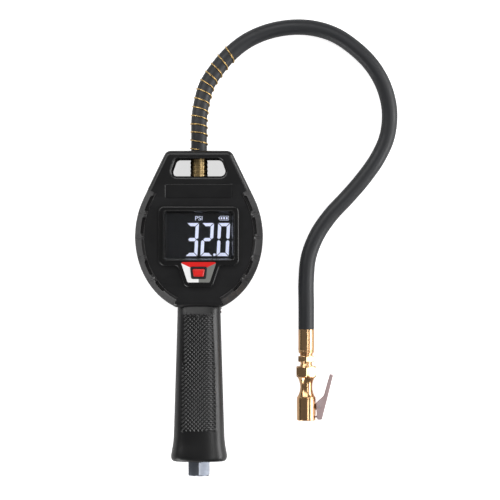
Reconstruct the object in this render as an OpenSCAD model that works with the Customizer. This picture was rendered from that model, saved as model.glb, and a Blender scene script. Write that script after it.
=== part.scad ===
// Hand-held digital tyre inflator: display head, squeeze handle, air hose and clip-on chuck.
// It lies on its back: +X right, +Y from the air inlet to the hanging loop, +Z out of the display.

/* [Head] */
// Width of the head over the bumper boot
head_w = 103.4; // [95:0.2:124]
// Length of the head from its lower edge to the top of the hanging loop
head_len = 126.3; // [122:0.1:152]
// Depth of the head behind the air axis
rear_depth = 22; // [20:0.5:28]
// Height of the head's face above the air axis
face_height = 14.5; // [14:0.5:18]
// Wall of the moulded shells
shell_wall = 2.4; // [1.8:0.1:3]
// Half width of the top of the hanging loop, to the centre of its corner
loop_corner_x = 22.4; // [18:0.1:26]
// Radius of the outer top corners
loop_corner_r = 6; // [3:0.5:8]
// Thickness of the hanging loop's top bar
loop_bar = 6.9; // [5:0.1:9]
// Height of the opening in the hanging loop
loop_gap = 13.9; // [10:0.1:16]
// Thickness of the rubber bumper boot
boot_wall = 3.3; // [2.5:0.1:4]

/* [Display] */
// Visible width of the screen
screen_w = 52.4; // [48:0.2:54]
// Visible height of the screen
screen_h = 36; // [32:0.2:38]
// Width of the bezel's frame round the screen
bezel_rim = 6.2; // [5:0.1:7]
// Height of the bezel above the face
bezel_rise = 4; // [2.5:0.1:5]
// Thickness of the screen's protective window
window_t = 2; // [1.5:0.1:2.5]
// Travel of the mode button
button_travel = 0.8; // [0.4:0.1:1]

/* [Handle] */
// Length of the handle from its heel to the head
handle_len = 124; // [118:0.5:150]
// Width of the handle where it meets the head
handle_w = 34.8; // [33:0.2:42]
// Extra width of the handle at its lower end, above the heel
handle_taper = 6.2; // [4:0.2:8]
// Width of the flared heel
heel_w = 45.8; // [44:0.2:56]
// Length of the grip panel
panel_len = 97; // [80:1:100]
// Depth of the grip panel's seat
panel_t = 1.6; // [1.2:0.1:2]

/* [Trigger] */
// Diameter of the trigger's pivot pin
pin_d = 4; // [3.4:0.1:4.6]
// Diametral clearance of every running pin and stem
running_gap = 0.1; // [0.04:0.02:0.16]
// Width of the trigger lever
lever_w = 18; // [15:0.5:18.6]
// Diameter of the valve's stem
stem_d = 3.6; // [3:0.1:4]

/* [Air path] */
// Size across the flats of the inlet's hexagon
inlet_af = 17; // [16:0.5:19]
// Length of the inlet's hexagon
inlet_len = 12.3; // [11:0.1:14]
// Minor diameter of the inlet's G1/4 thread
inlet_bore_d = 11.44; // [11:0.02:11.8]
// Diameter of the valve body in the handle
valve_body_d = 19; // [18:0.1:20]
// Outer diameter of the air tube
air_tube_d = 8; // [7:0.1:8.6]

/* [Hose] */
// Outer diameter of the rubber hose
hose_d = 12.8; // [12:0.1:13.4]
// Outer diameter of the crimped ferrule in the hanging loop
ferrule_d = 13.9; // [13.5:0.1:14.4]
// Wire diameter of the spring guard
guard_wire = 1; // [0.8:0.1:1.2]
// Turns of the spring guard
guard_turns = 12.5; // [8:0.5:14]

/* [Chuck] */
// Diameter of the chuck's body
chuck_d = 15.4; // [14.6:0.1:18]
// Diameter of the socket for a tyre valve
valve_socket_d = 8.4; // [8:0.1:8.6]
// Size across the flats of the chuck's hexagon
chuck_af = 16; // [15:0.5:18]

/* [Hidden] */

$fn = 48;
eps = 0.01;
fit = 0.1;

// ---- places along Y; the origin is the middle of the overall length
total_len = inlet_len + handle_len + head_len;
y_end = -total_len / 2;
y_heel = y_end + inlet_len;
y_head = y_heel + handle_len;
y_top = y_head + head_len;
air_z = rear_depth;
face_z = air_z + face_height;
inner_z = face_z - shell_wall;

// ---- head outline
belly_y = y_head + 57;
belly_drop = 61;
shoulder_r = 72;
side_steps = 12;
corner_steps = 5;
boot_top_y = y_head + 95;
boot_lip = 8;
boot_back_z = 5;
boot_seat = boot_wall + fit;
boot_shoulder = boot_wall + 2.1;
boot_shoulder_z = face_z - 6.5;
boot_lip_z = face_z - 2.1;
cavity_inset = boot_seat + shell_wall;
cavity_top_inset = boot_shoulder + fit + shell_wall + 1.2;
cavity_top_y = y_top - loop_bar - loop_gap - 6.4;

// ---- hanging loop
window_top_y = y_top - loop_bar;
window_low_y = window_top_y - loop_gap;
window_half_top = 18.2;
window_half_low = 23;
window_corner_r = 4;

// ---- display, measured from the lower edge of the screen
screen_y = y_head + 39.7;
bezel_half_w = screen_w / 2 + bezel_rim;
bezel_low_y = screen_y - bezel_rim;
bezel_top_y = screen_y + screen_h + bezel_rim - 0.4;
bezel_z = face_z + bezel_rise;
bezel_corner_r = 5;
bezel_seat_z = inner_z + 0.1;
spigot_inset = 2;
tab_low_y = bezel_low_y - 17.2;
tab_half_top = 17;
tab_half_low = 11.1;
window_z = bezel_seat_z + window_t + 0.1;
window_lap = 1;
lcd_t = 2.8;
lcd_z = bezel_seat_z - 0.1 - lcd_t;
backlight_t = 1.3;
board_t = 1.6;
board_z = lcd_z - backlight_t - 0.3 - board_t;
button_y = bezel_low_y - 5.6;
button_half_top = 5;
button_half_low = 4;
button_h = 6.2;
button_z = bezel_z + 0.5;
seal_margin = 1.9;
label_t = 0.5;
label_z = bezel_z - 0.4;
plate_half_w = 26.8;
plate_low_y = bezel_top_y + 6.5;
plate_top_y = plate_low_y + 11.1;
plate_t = 0.9;

// ---- batteries, two AAA cells side by side
cell_d = 10.5;
cell_len = 44.5;
cell_pitch = 12;
cell_z = 3.25 + cell_d / 2;
cell_y = y_head + 29;
box_wall = 1.5;
box_half_w = cell_pitch / 2 + cell_d / 2 + 0.9;
box_low_y = cell_y - 0.6;
box_top_y = cell_y + cell_len + 0.9;
back_wall = 3;
cover_t = 1.8;
cover_lap = 2;
cover_screw_y = box_top_y + 5;
cover_top_y = box_top_y + 8.5;

// ---- screws
screw_d = 3;
screw_head_d = 5.8;
screw_head_t = 2.4;
boss_r = 3.6;
counterbore_z = 3.6;
shell_screw_at = [[33, y_head + 88], [29, y_head + 23]];
board_screw_at = [[21, bezel_top_y + 1], [22, y_head + 20]];
handle_screw_at = [y_heel + 8, y_heel + 34];
panel_screw_x = 14.2;
panel_at = 23.4;
panel_half_low = 15.6;
panel_half_top = 12.9;

// ---- handle stations: height above the heel, half width, depth behind and in front of the air axis
neck_len = 9;
neck_front = 12;
neck_dip = 3.4;
hand_back = 14;
hand_front = 15;
waist_half = handle_w / 2 + handle_taper / 2;
stations = [
  [0, heel_w / 2 - 1.9, rear_depth - 1.6, hand_front + 1.4],
  [1.3, heel_w / 2 - 0.5, rear_depth - 0.4, hand_front + 2.6],
  [3.5, heel_w / 2, rear_depth, hand_front + 3],
  [6, heel_w / 2 - 0.3, rear_depth - 0.6, hand_front + 2.8],
  [10.5, heel_w / 2 - 1.5, rear_depth - 3.6, hand_front + 2],
  [16, waist_half + 0.2, hand_back + 1.4, hand_front + 1.2],
  for (h = [21, 30, handle_len - 12, handle_len - neck_dip])
    let (t = (h - 21) / (handle_len - neck_dip - 21))
    [h, waist_half - 0.1 + (handle_w / 2 - waist_half + 0.1) * t, hand_back, hand_front + 0.8 * (1 - t)],
  [handle_len, handle_w / 2, hand_back, neck_front],
  [handle_len + neck_len, handle_w / 2, hand_back, neck_front]
];
section_power = 3;
section_steps = 48;
heel_floor = 4;

// ---- trigger and valve
pivot_y = y_head - 2.8;
pivot_z = air_z - 9.5;
hub_r = 4.5;
pin_head_d = 4.8;
pin_seat_x = handle_w / 2 - 1.9;
slot_half_w = lever_w / 2 + 0.8;
stem_y = pivot_y - 22.2;
stem_tip_z = air_z - 13.4;
seat_z = air_z - 0.5;
body_low_y = y_heel + 19;
body_top_y = stem_y + 12;
tube_seat = 6;
chamber_r = 5;
cap_z = air_z + 6.6;
cap_t = 3.6;
cap_room = 0.06;
spring_r = 3.3;
spring_wire = 0.8;
inlet_neck_r = 7.4;
inlet_thread_r = 6.55;
inlet_screw_len = 10;
passage_r = 4;

// ---- outlet block in the head
block_half_w = 9;
block_half_h = 8.5;
block_low_y = cavity_top_y - 22;
block_len = 16;
outlet_thread_len = 8;
sensor_y = block_low_y + 9;
sensor_r = 4.5;

// ---- hose route, measured from the hose's exit at the end of the gauge ferrule
hose_exit = [0, y_top - 0.5, air_z];
route = [
  [0, 0, 0], [0, 13, -0.5], [0, 26, -2.5], [2, 40, -5], [6, 54, -8], [14, 67, -10.5],
  [25, 80, -12.5], [39, 91, -14], [56, 98.5, -15], [75, 102, -15.4], [94, 101, -15.5],
  [112, 95, -15.5], [129, 83, -15.5], [142, 69, -15.5], [151, 52, -15.5], [155, 33, -15.5],
  [153, 13, -15.5], [145, -5, -15.5], [133, -22, -15.5], [120, -37, -15.5],
  [107, -51, -15.5], [96, -67, -15.5], [89, -85, -15.3], [87, -104, -14.4],
  [87, -124, -13], [87, -144, -12.6]
];
route_steps = 2;
hose_sides = 12;
guard_from = 0.15;
guard_to = 6.2;
guard_sides = 6;
guard_rings_per_turn = 10;

// ---- chuck, hanging from the hose's far end along -Y
chuck_at = hose_exit + route[len(route) - 1];
chuck_ferrule_len = 19.5;
adapter_hex_at = 21.8;
adapter_hex_len = 4.8;
adapter_af = 13;
chuck_hex_at = 30.2;
chuck_hex_len = 9;
chuck_body_at = 54.8;
chuck_end_at = 74.4;
waist_r = 4.9;
socket_depth = 9;
clip_pivot = [10.4, 63.1];
clip_pin_d = 2;
cheek_gap = 6.4;
lug_half = 1.5;
cheek_t = 1;

// ================= helper functions =================

function unit(v) = v / norm(v);

// Point on a circle
function polar(centre, r, a) = [centre[0] + r * cos(a), centre[1] + r * sin(a)];

// Catmull-Rom point on a list of points, at a fractional index
function route_point(pts, at) =
  let (
    last = len(pts) - 1,
    i = min(floor(at), last - 1),
    t = at - i,
    p0 = pts[max(i - 1, 0)],
    p1 = pts[i],
    p2 = pts[i + 1],
    p3 = pts[min(i + 2, last)]
  )
  0.5 * (2 * p1 + (p2 - p0) * t + (2 * p0 - 5 * p1 + 4 * p2 - p3) * t * t
    + (3 * p1 - p0 - 3 * p2 + p3) * t * t * t);

// The arc that rounds corner b between a and c
function fillet(a, b, c, r, steps) =
  let (
    u = unit(a - b),
    v = unit(c - b),
    half = acos(u * v) / 2,
    centre = b + unit(u + v) * r / sin(half),
    from = b + u * r / tan(half) - centre,
    to = b + v * r / tan(half) - centre,
    start = atan2(from[1], from[0]),
    turn = atan2(to[1], to[0]) - start,
    sweep = turn > 180 ? turn - 360 : turn < -180 ? turn + 360 : turn
  )
  [for (k = [0:steps]) polar(centre, r, start + sweep * k / steps)];

// A polygon whose corners are rounded: each entry is [x, y, radius]
function rounded(corners, steps = corner_steps) =
  let (n = len(corners))
  [
    for (i = [0:n - 1])
      let (
        a = corners[(i + n - 1) % n],
        b = corners[i],
        c = corners[(i + 1) % n]
      )
      each fillet([a[0], a[1]], [b[0], b[1]], [c[0], c[1]], b[2], steps)
  ];

// A trapezium that is symmetric about x = 0, with its corners rounded
function trapezium(half_low, half_top, y_low, y_high, r) =
  rounded([[half_low, y_low, r], [half_top, y_high, r], [-half_top, y_high, r], [-half_low, y_low, r]]);

// Right half of the head's outline, from its lower corner to its top corner
function head_side(inset) =
  let (
    half_w = head_w / 2,
    low_angle = asin((belly_y - y_head) / belly_drop),
    shoulder = [half_w - shoulder_r, belly_y],
    corner = [loop_corner_x, y_top - loop_corner_r],
    between = shoulder - corner,
    lean = atan2(between[1], between[0])
      + acos((loop_corner_r - shoulder_r) / norm(between))
  )
  concat(
    [
      for (k = [0:side_steps])
        let (
          a = low_angle * (1 - k / side_steps),
          slope = unit([belly_drop * cos(a), -half_w * sin(a)])
        )
        [half_w * cos(a), belly_y - belly_drop * sin(a)] - slope * inset
    ],
    [for (k = [1:corner_steps]) polar(shoulder, shoulder_r - inset, lean * k / corner_steps)],
    [
      for (k = [0:corner_steps])
        polar(corner, max(loop_corner_r - inset, 0.4), lean + (90 - lean) * k / corner_steps)
          + (inset > loop_corner_r - 0.4
            ? [-(inset - loop_corner_r + 0.4) * 1.2, -(inset - loop_corner_r + 0.4)] : [0, 0])
    ]
  );

function mirrored(side) =
  concat(side, [for (k = [len(side) - 1:-1:0]) [-side[k][0], side[k][1]]]);

function head_outline(inset) = mirrored(head_side(inset));

// Half of the handle's section at a height above the heel: [half width, back, front]
function station_at(h) =
  let (
    i = max([for (k = [0:len(stations) - 2]) if (stations[k][0] <= h) k]),
    low = stations[i],
    high = stations[i + 1],
    t = (h - low[0]) / (high[0] - low[0])
  )
  [for (k = [1:3]) low[k] + (high[k] - low[k]) * t];

// A point of a rounded section: a = 0 faces +Z, a = 90 faces +X
function section_point(half, back, front, a) =
  let (
    c = cos(a),
    s = sin(a),
    reach = pow(pow(abs(c), section_power) + pow(abs(s), section_power), -1 / section_power)
  )
  [half * s * reach, (c > 0 ? front : back) * c * reach];

function section_ring(y, half, back, front) =
  [
    for (k = [0:section_steps - 1])
      let (p = section_point(half, back, front, 360 * k / section_steps))
      [p[0], y, air_z + p[1]]
  ];

// ================= helper solids =================

// A solid skinned over rings of equal length; each ring turns left about the sweep
module loft(rings) {
  n = len(rings[0]);
  m = len(rings);
  sides = [
    for (i = [0:m - 2], j = [0:n - 1])
      let (a = i * n + j, b = i * n + (j + 1) % n)
      each [[a, a + n, b + n], [a, b + n, b]]
  ];
  polyhedron(
    points = [for (r = rings) each r],
    faces = concat([[for (j = [0:n - 1]) j]], sides, [[for (j = [n - 1:-1:0]) (m - 1) * n + j]]),
    convexity = 8
  );
}

// The head's outline skinned over levels of [inset, z]
module head_loft(levels) {
  loft([for (l = levels) [for (p = head_outline(l[0])) [p[0], p[1], l[1]]]]);
}

module head_slab(inset, z_low, z_high) {
  translate([0, 0, z_low])
    linear_extrude(z_high - z_low) polygon(head_outline(inset));
}

module slab(points, z_low, z_high) {
  translate([0, 0, z_low]) linear_extrude(z_high - z_low) polygon(points);
}

module box(low, high) {
  translate(low) cube(high - low);
}

// A cylinder along Y
module rod_y(d, y_low, y_high, x = 0, z = air_z, sides = 48) {
  translate([x, y_low, z]) rotate([-90, 0, 0]) cylinder(d = d, h = y_high - y_low, $fn = sides);
}

// A cylinder along X
module rod_x(d, x_low, x_high, y, z) {
  translate([x_low, y, z]) rotate([0, 90, 0]) cylinder(d = d, h = x_high - x_low);
}

// A hexagonal bar along Y, with two edges up and down
module hex_y(af, y_low, y_high, x = 0, z = air_z) {
  translate([x, y_low, z]) rotate([-90, 0, 0]) rotate(30)
    cylinder(d = af / cos(30), h = y_high - y_low, $fn = 6);
}

// A round wire or tube along a path, with one normal for each point of the path
module tube(path, normals, r, sides) {
  last = len(path) - 1;
  loft([
    for (i = [0:last])
      let (
        t = unit(path[min(i + 1, last)] - path[max(i - 1, 0)]),
        u = unit(normals[i] - t * (normals[i] * t)),
        v = cross(t, u)
      )
      [for (k = [0:sides - 1]) path[i] + r * (cos(360 * k / sides) * u + sin(360 * k / sides) * v)]
  ]);
}

// A coil spring along Z
module coil(r, wire_r, z_low, z_high, turns, steps = 14, sides = 6) {
  n = ceil(turns * steps);
  angles = [for (k = [0:n]) 360 * turns * k / n];
  tube(
    [for (k = [0:n]) [r * cos(angles[k]), r * sin(angles[k]), z_low + (z_high - z_low) * k / n]],
    [for (k = [0:n]) [cos(angles[k]), sin(angles[k]), 0]],
    wire_r, sides
  );
}

module mirror_x() {
  children();
  mirror([1, 0, 0]) children();
}

// A pan-head screw that points along +Z from the underside of its head
module screw(d, head_d, head_t, len) {
  difference() {
    union() {
      translate([0, 0, -eps]) cylinder(d = d, h = len + eps);
      translate([0, 0, -head_t]) cylinder(d = head_d, h = head_t);
    }
    for (a = [0, 90])
      rotate(a) translate([-head_d * 0.3, -0.35, -head_t - eps]) cube([head_d * 0.6, 0.7, head_t * 0.5]);
  }
}

// ================= head =================

module boot_zone(z_low, z_high) {
  box([-head_w, y_head - 10, z_low], [head_w, boot_top_y, z_high]);
}

// What the boot takes from the outside of the shells
module boot_seat_cut() {
  difference() {
    boot_zone(boot_back_z, face_z + 5);
    head_slab(boot_seat, boot_back_z - 1, boot_shoulder_z - fit);
    head_slab(boot_shoulder + fit, boot_back_z - 1, boot_lip_z - fit);
    head_slab(boot_lip + fit, boot_back_z - 1, face_z + 6);
    box([-handle_w / 2 - 3.2, y_head - 11, -1], [handle_w / 2 + 3.2, y_head + 7.8, face_z + 6]);
  }
}

// The channel that the handle's neck plugs into
module neck_channel() {
  grow = 0.1;
  loft([
    for (y = [y_head - 2, y_head + neck_len + fit])
      section_ring(y, handle_w / 2 + grow, hand_back + grow, neck_front + grow)
  ]);
}

module loop_window(z_low, z_high) {
  slab(trapezium(window_half_low, window_half_top, window_low_y, window_top_y, window_corner_r),
    z_low, z_high);
}

module ferrule_hole() {
  rod_y(ferrule_d + 0.3, cavity_top_y - 1, y_top + 1);
}

module cavity(inset, z_low, z_high) {
  intersection() {
    head_slab(inset, z_low, z_high);
    box([-head_w, y_head, z_low - 1], [head_w, cavity_top_y, z_high + 1]);
  }
}

function bezel_outline(inset) =
  rounded([
    [bezel_half_w - inset, bezel_low_y + inset, bezel_corner_r - inset],
    [bezel_half_w - inset, bezel_top_y - inset, bezel_corner_r - inset],
    [-bezel_half_w + inset, bezel_top_y - inset, bezel_corner_r - inset],
    [-bezel_half_w + inset, bezel_low_y + inset, bezel_corner_r - inset],
    [-tab_half_top + inset, bezel_low_y + inset, 2 + inset],
    [-tab_half_low + inset, tab_low_y + inset, 4.5 - inset],
    [tab_half_low - inset, tab_low_y + inset, 4.5 - inset],
    [tab_half_top - inset, bezel_low_y + inset, 2 + inset]
  ], 4);

module front_shell() {
  color("#2e2e30")
    difference() {
      union() {
        difference() {
          head_loft([[0, air_z], [0.2, face_z - 4.5], [1, face_z - 2], [2.6, face_z - 0.5], [3.6, face_z]]);
          boot_seat_cut();
          cavity(cavity_inset, air_z - 1, boot_shoulder_z - 1.5);
          cavity(cavity_top_inset, air_z - 1, inner_z);
        }
        for (p = shell_screw_at)
          mirror_x() translate([p[0], p[1], air_z]) cylinder(r = boss_r, h = inner_z - air_z + eps);
        for (p = board_screw_at)
          mirror_x() translate([p[0], p[1], board_z + board_t])
            cylinder(r = 2.4, h = inner_z - board_z - board_t + eps);
      }
      loop_window(air_z - 1, face_z + 1);
      ferrule_hole();
      slab(bezel_outline(spigot_inset), inner_z - 1, face_z + 1);
      slab(trapezium(plate_half_w, plate_half_w, plate_low_y, plate_top_y, 1.2),
        face_z - plate_t, face_z + 1);
      for (p = shell_screw_at)
        mirror_x() translate([p[0], p[1], air_z - 1])
          cylinder(d = screw_d + fit, h = inner_z - air_z - 1);
      for (p = board_screw_at)
        mirror_x() translate([p[0], p[1], board_z]) cylinder(d = 2 + fit, h = 5.4);
      neck_channel();
    }
}

module rear_shell() {
  color("#29292b")
    difference() {
      union() {
        difference() {
          head_loft([[5.5, 0], [3, 1.2], [1.2, 3], [0.3, 5], [0, air_z]]);
          boot_seat_cut();
          cavity(cavity_inset, back_wall, air_z + 1);
        }
        for (p = shell_screw_at)
          mirror_x() translate([p[0], p[1], 1]) cylinder(r = boss_r, h = air_z - 1);
        translate([0, cover_screw_y, 1]) cylinder(r = 3, h = 9);
        box([-box_half_w - box_wall, box_low_y - box_wall, 1],
          [box_half_w + box_wall, box_top_y + box_wall, cell_z + cell_d / 2 + 0.7 + box_wall]);
      }
      loop_window(-1, air_z + 1);
      ferrule_hole();
      box([-box_half_w, box_low_y, -1], [box_half_w, box_top_y, cell_z + cell_d / 2 + 0.7]);
      box([-box_half_w - cover_lap - fit, box_low_y - cover_lap - fit, -1],
        [box_half_w + cover_lap + fit, cover_top_y + fit, cover_t]);
      translate([0, cover_screw_y, -1]) cylinder(d = 2.5 + fit, h = 10);
      for (p = shell_screw_at)
        mirror_x() translate([p[0], p[1], -1]) {
          cylinder(d = screw_head_d + 0.4, h = counterbore_z + 1);
          cylinder(d = screw_d + 2 * fit, h = air_z + 2);
        }
      neck_channel();
    }
}

// Pockets moulded into the boot's front lip, as heights above the head's lower edge
boot_pockets = [[9, 17], [23, 36], [59, 74], [79, 92]];

module bumper_boot() {
  color("#3a3a3c")
    difference() {
      intersection() {
        head_loft([
          [0.6, boot_back_z], [0, boot_back_z + 1], [0, face_z - 9], [0.6, face_z - 7],
          [5.4, face_z - 0.2], [6, face_z + 0.5]
        ]);
        boot_zone(boot_back_z, face_z + 5);
      }
      head_slab(boot_wall, boot_back_z - 1, boot_shoulder_z);
      head_slab(boot_shoulder, boot_shoulder_z - 1, boot_lip_z);
      head_slab(boot_lip, boot_lip_z - 1, face_z + 6);
      box([-handle_w / 2 - 3.4, y_head - 3, 0], [handle_w / 2 + 3.4, y_head + 8, face_z + 6]);
      for (s = boot_pockets)
        intersection() {
          difference() {
            head_slab(4.6, face_z - 1.4, face_z + 2);
            head_slab(7.1, face_z - 3, face_z + 3);
          }
          box([-head_w, y_head + s[0], face_z - 3], [head_w, y_head + s[1], face_z + 3]);
        }
    }
}

module nameplate() {
  color("#1c1c1e")
    slab(trapezium(plate_half_w - fit, plate_half_w - fit, plate_low_y + fit, plate_top_y - fit, 1.1),
      face_z - plate_t, face_z - 0.2);
}

// The bezel's frame, and the tab below it, with a bevelled top edge
module bezel_solid() {
  frame_h = bezel_top_y - bezel_low_y;
  levels = [[0, face_z], [0.3, bezel_z - 1.2], [1.5, bezel_z]];
  loft([
    for (l = levels)
      [
        for (p = trapezium(bezel_half_w - l[0], bezel_half_w - l[0], bezel_low_y + l[0],
          bezel_top_y - l[0], bezel_corner_r - l[0])) [p[0], p[1], l[1]]
      ]
  ]);
  loft([
    for (l = levels)
      [
        for (p = trapezium(tab_half_low - l[0], tab_half_top - l[0] + 3, tab_low_y + l[0],
          bezel_low_y + frame_h / 4, 4.5 - l[0])) [p[0], p[1], l[1]]
      ]
  ]);
}

module display_bezel() {
  rebate_w = screen_w / 2 + window_lap + 0.15;
  color("#262628")
    difference() {
      union() {
        bezel_solid();
        slab(bezel_outline(spigot_inset + fit), bezel_seat_z, face_z + eps);
      }
      slab(trapezium(screen_w / 2, screen_w / 2, screen_y, screen_y + screen_h, 0.8),
        bezel_seat_z - 1, bezel_z + 1);
      loft([
        for (l = [[0, window_z + 1], [1.8, bezel_z - 0.6], [3, bezel_z + 0.4]])
          [
            for (p = trapezium(screen_w / 2 + l[0], screen_w / 2 + l[0], screen_y - l[0],
              screen_y + screen_h + l[0], 1 + l[0])) [p[0], p[1], l[1]]
          ]
      ]);
      slab(trapezium(rebate_w, rebate_w, screen_y - window_lap - 0.15,
        screen_y + screen_h + window_lap + 0.15, 1), bezel_seat_z - 1, window_z);
      slab(label_outline(-0.1), label_z - label_t, bezel_z + 1);
      slab(button_outline(seal_margin), bezel_seat_z - 1, bezel_z + 1);
    }
}

function label_outline(inset) =
  trapezium(8.9 - inset, 14.3 - inset, bezel_low_y - 13.3 + inset, bezel_low_y + 3 - inset, 1.2);

function button_outline(grow) =
  trapezium(button_half_low + grow, button_half_top + grow, button_y - button_h / 2 - grow,
    button_y + button_h / 2 + grow, 0.8 + grow / 3);

module display_window() {
  half_w = screen_w / 2 + window_lap;
  color("#0c0e14", 0.6)
    slab(trapezium(half_w, half_w, screen_y - window_lap, screen_y + screen_h + window_lap, 0.9),
      window_z - window_t, window_z);
}

module lcd_module() {
  color("#15181f")
    box([-screen_w / 2 - 2.2, screen_y - 2.6, lcd_z],
      [screen_w / 2 + 2.2, screen_y + screen_h + 2.6, lcd_z + lcd_t]);
}

module backlight() {
  color("#dfe4fb")
    box([-screen_w / 2 - 1, screen_y - 1.4, lcd_z - backlight_t],
      [screen_w / 2 + 1, screen_y + screen_h + 1.4, lcd_z]);
}

module circuit_board() {
  half_w = 24.8;
  ear_top_y = board_screw_at[0][1] + 2.8;
  color("#1f6b3a")
    difference() {
      union() {
        box([-half_w, y_head + 16, board_z], [half_w, block_low_y - 1.2, board_z + board_t]);
        mirror_x() box([15, block_low_y - 2, board_z], [half_w, ear_top_y, board_z + board_t]);
        box([-6, screen_y + 6, board_z - 1.2], [6, screen_y + 18, board_z + eps]);
        box([-19, screen_y + 8, board_z - 1.6], [-12, screen_y + 12, board_z + eps]);
        box([12, screen_y + 4, board_z - 1], [18, screen_y + 9, board_z + eps]);
      }
      for (p = board_screw_at)
        mirror_x() translate([p[0], p[1], board_z - 1]) cylinder(d = 2.2, h = board_t + 2);
    }
}

module board_screws() {
  color("silver")
    for (p = board_screw_at)
      mirror_x() translate([p[0], p[1], board_z]) screw(2, 3.6, 1.3, 5);
}

module mode_button() {
  color("#e23330")
    union() {
      slab(button_outline(0), bezel_seat_z + 2.2, button_z);
      slab(button_outline(seal_margin - 0.5), bezel_seat_z + 1.6, bezel_z - 2.8);
      translate([0, button_y, board_z + board_t + 0.9 + button_travel + 0.15])
        cylinder(d = 4, h = bezel_seat_z + 2 - board_z - board_t - 0.9 - button_travel - 0.15);
    }
}

module button_seal() {
  color("#161618")
    difference() {
      slab(button_outline(seal_margin - 0.02), bezel_z - 2.6, bezel_z - 0.1);
      slab(button_outline(0.15), bezel_z - 4, bezel_z + 1);
    }
}

module button_label() {
  color("white")
    difference() {
      slab(label_outline(0), label_z - label_t, label_z);
      slab(button_outline(seal_margin + 0.05), label_z - 2, label_z + 1);
    }
}

module dome_switch() {
  color("#c9ccd2")
    translate([0, button_y, board_z + board_t]) {
      translate([-3, -3, 0]) cube([6, 6, 0.5]);
      cylinder(d1 = 5, d2 = 3, h = 0.9, $fn = 24);
    }
}

module battery_cover() {
  color("#242426")
    difference() {
      box([-box_half_w - cover_lap, box_low_y - cover_lap, 0],
        [box_half_w + cover_lap, cover_top_y, cover_t]);
      for (k = [0:4])
        translate([-8, box_low_y + 4 + 2.4 * k, -eps]) cube([16, 1.2, 0.5]);
      translate([0, cover_screw_y, -1]) cylinder(d = 2.8, h = cover_t + 2);
      translate([0, cover_screw_y, -1]) cylinder(d = 4.8, h = 2);
    }
}

module battery_cover_screw() {
  color("silver")
    translate([0, cover_screw_y, 1]) screw(2.5, 4.6, 0.9, 8);
}

module batteries() {
  color("#b9742c")
    for (s = [-1, 1])
      union() {
        rod_y(cell_d, cell_y, cell_y + cell_len - 0.8, s * cell_pitch / 2, cell_z);
        rod_y(3.8, s > 0 ? cell_y + cell_len - 1 : cell_y + 1, s > 0 ? cell_y + cell_len : cell_y + 1.2,
          s * cell_pitch / 2, cell_z);
      }
}

module battery_contacts() {
  color("silver")
    for (s = [-1, 1], low = [true, false])
      let (y = low ? box_low_y : box_top_y - 0.4)
      box([s * cell_pitch / 2 - 4, y, cell_z - 4], [s * cell_pitch / 2 + 4, y + 0.4, cell_z + 4]);
}

module shell_screws() {
  color("#3c3c40")
    for (p = shell_screw_at)
      mirror_x() translate([p[0], p[1], counterbore_z])
        screw(screw_d, screw_head_d, screw_head_t, inner_z - counterbore_z - 3);
}

// ================= handle =================

module handle_solid(inset = 0) {
  loft([
    for (s = stations)
      section_ring(y_heel + s[0], s[1] - inset, s[2] - inset, s[3] - inset)
  ]);
}

module handle_hollow() {
  wall = shell_wall;
  loft(concat(
    [
      for (h = [heel_floor, 10.5, 16, 22])
        let (s = station_at(h))
        section_ring(y_heel + h, s[0] - wall - 1, min(s[1], hand_back + 2) - wall, s[2] - wall - panel_t - 0.4)
    ],
    [
      section_ring(y_heel + handle_len + neck_len + 1, handle_w / 2 - wall, hand_back - wall,
        neck_front - wall + 0.4)
    ]
  ));
}

module half_space(front) {
  z_low = front ? air_z : -5;
  box([-60, y_heel - 5, z_low], [60, y_head + 30, z_low + (front ? 60 : air_z + 5)]);
}

// Cross ribs that cradle the valve body
module cradle_ribs(front) {
  z_low = front ? air_z : air_z - hand_back;
  z_high = front ? air_z + hand_front : air_z;
  for (y = [body_low_y + 8, body_low_y + 40])
    difference() {
      intersection() {
        box([-handle_w, y, z_low], [handle_w, y + 2, z_high]);
        handle_solid(shell_wall / 2);
      }
      rod_y(valve_body_d + 0.1, y - 1, y + 3, sides = 72);
      if (!front) box([-slot_half_w, y - 1, -1], [slot_half_w, y + 3, pivot_z + 1]);
    }
}

// The grip panel's plan, as a prism along Z
module panel_prism(grow) {
  y_low = y_heel + panel_at;
  slab(trapezium(panel_half_low + grow, panel_half_top + grow, y_low - grow, y_low + panel_len + grow,
    3 + grow), air_z + 4, air_z + hand_front + 12);
}

module handle_front_shell() {
  color("#1d1d1f")
    difference() {
      union() {
        difference() {
          intersection() {
            handle_solid();
            half_space(true);
          }
          handle_hollow();
        }
        cradle_ribs(true);
        for (y = handle_screw_at)
          mirror_x() translate([panel_screw_x, y, air_z]) cylinder(r = 2.6, h = 10.4);
      }
      difference() {
        panel_prism(0.15);
        handle_solid(panel_t);
      }
      rod_y(2 * inlet_neck_r + 0.2, y_heel - 1, y_heel + 24);
      // Pocket that keeps the valve cap clear of a thicker wall.
      translate([0, stem_y, cap_z]) cylinder(r = chamber_r + cap_room, h = cap_t + cap_room);
      for (y = handle_screw_at)
        mirror_x() translate([panel_screw_x, y, air_z - 1]) cylinder(d = 2.5 + fit, h = 9);
    }
}

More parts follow.
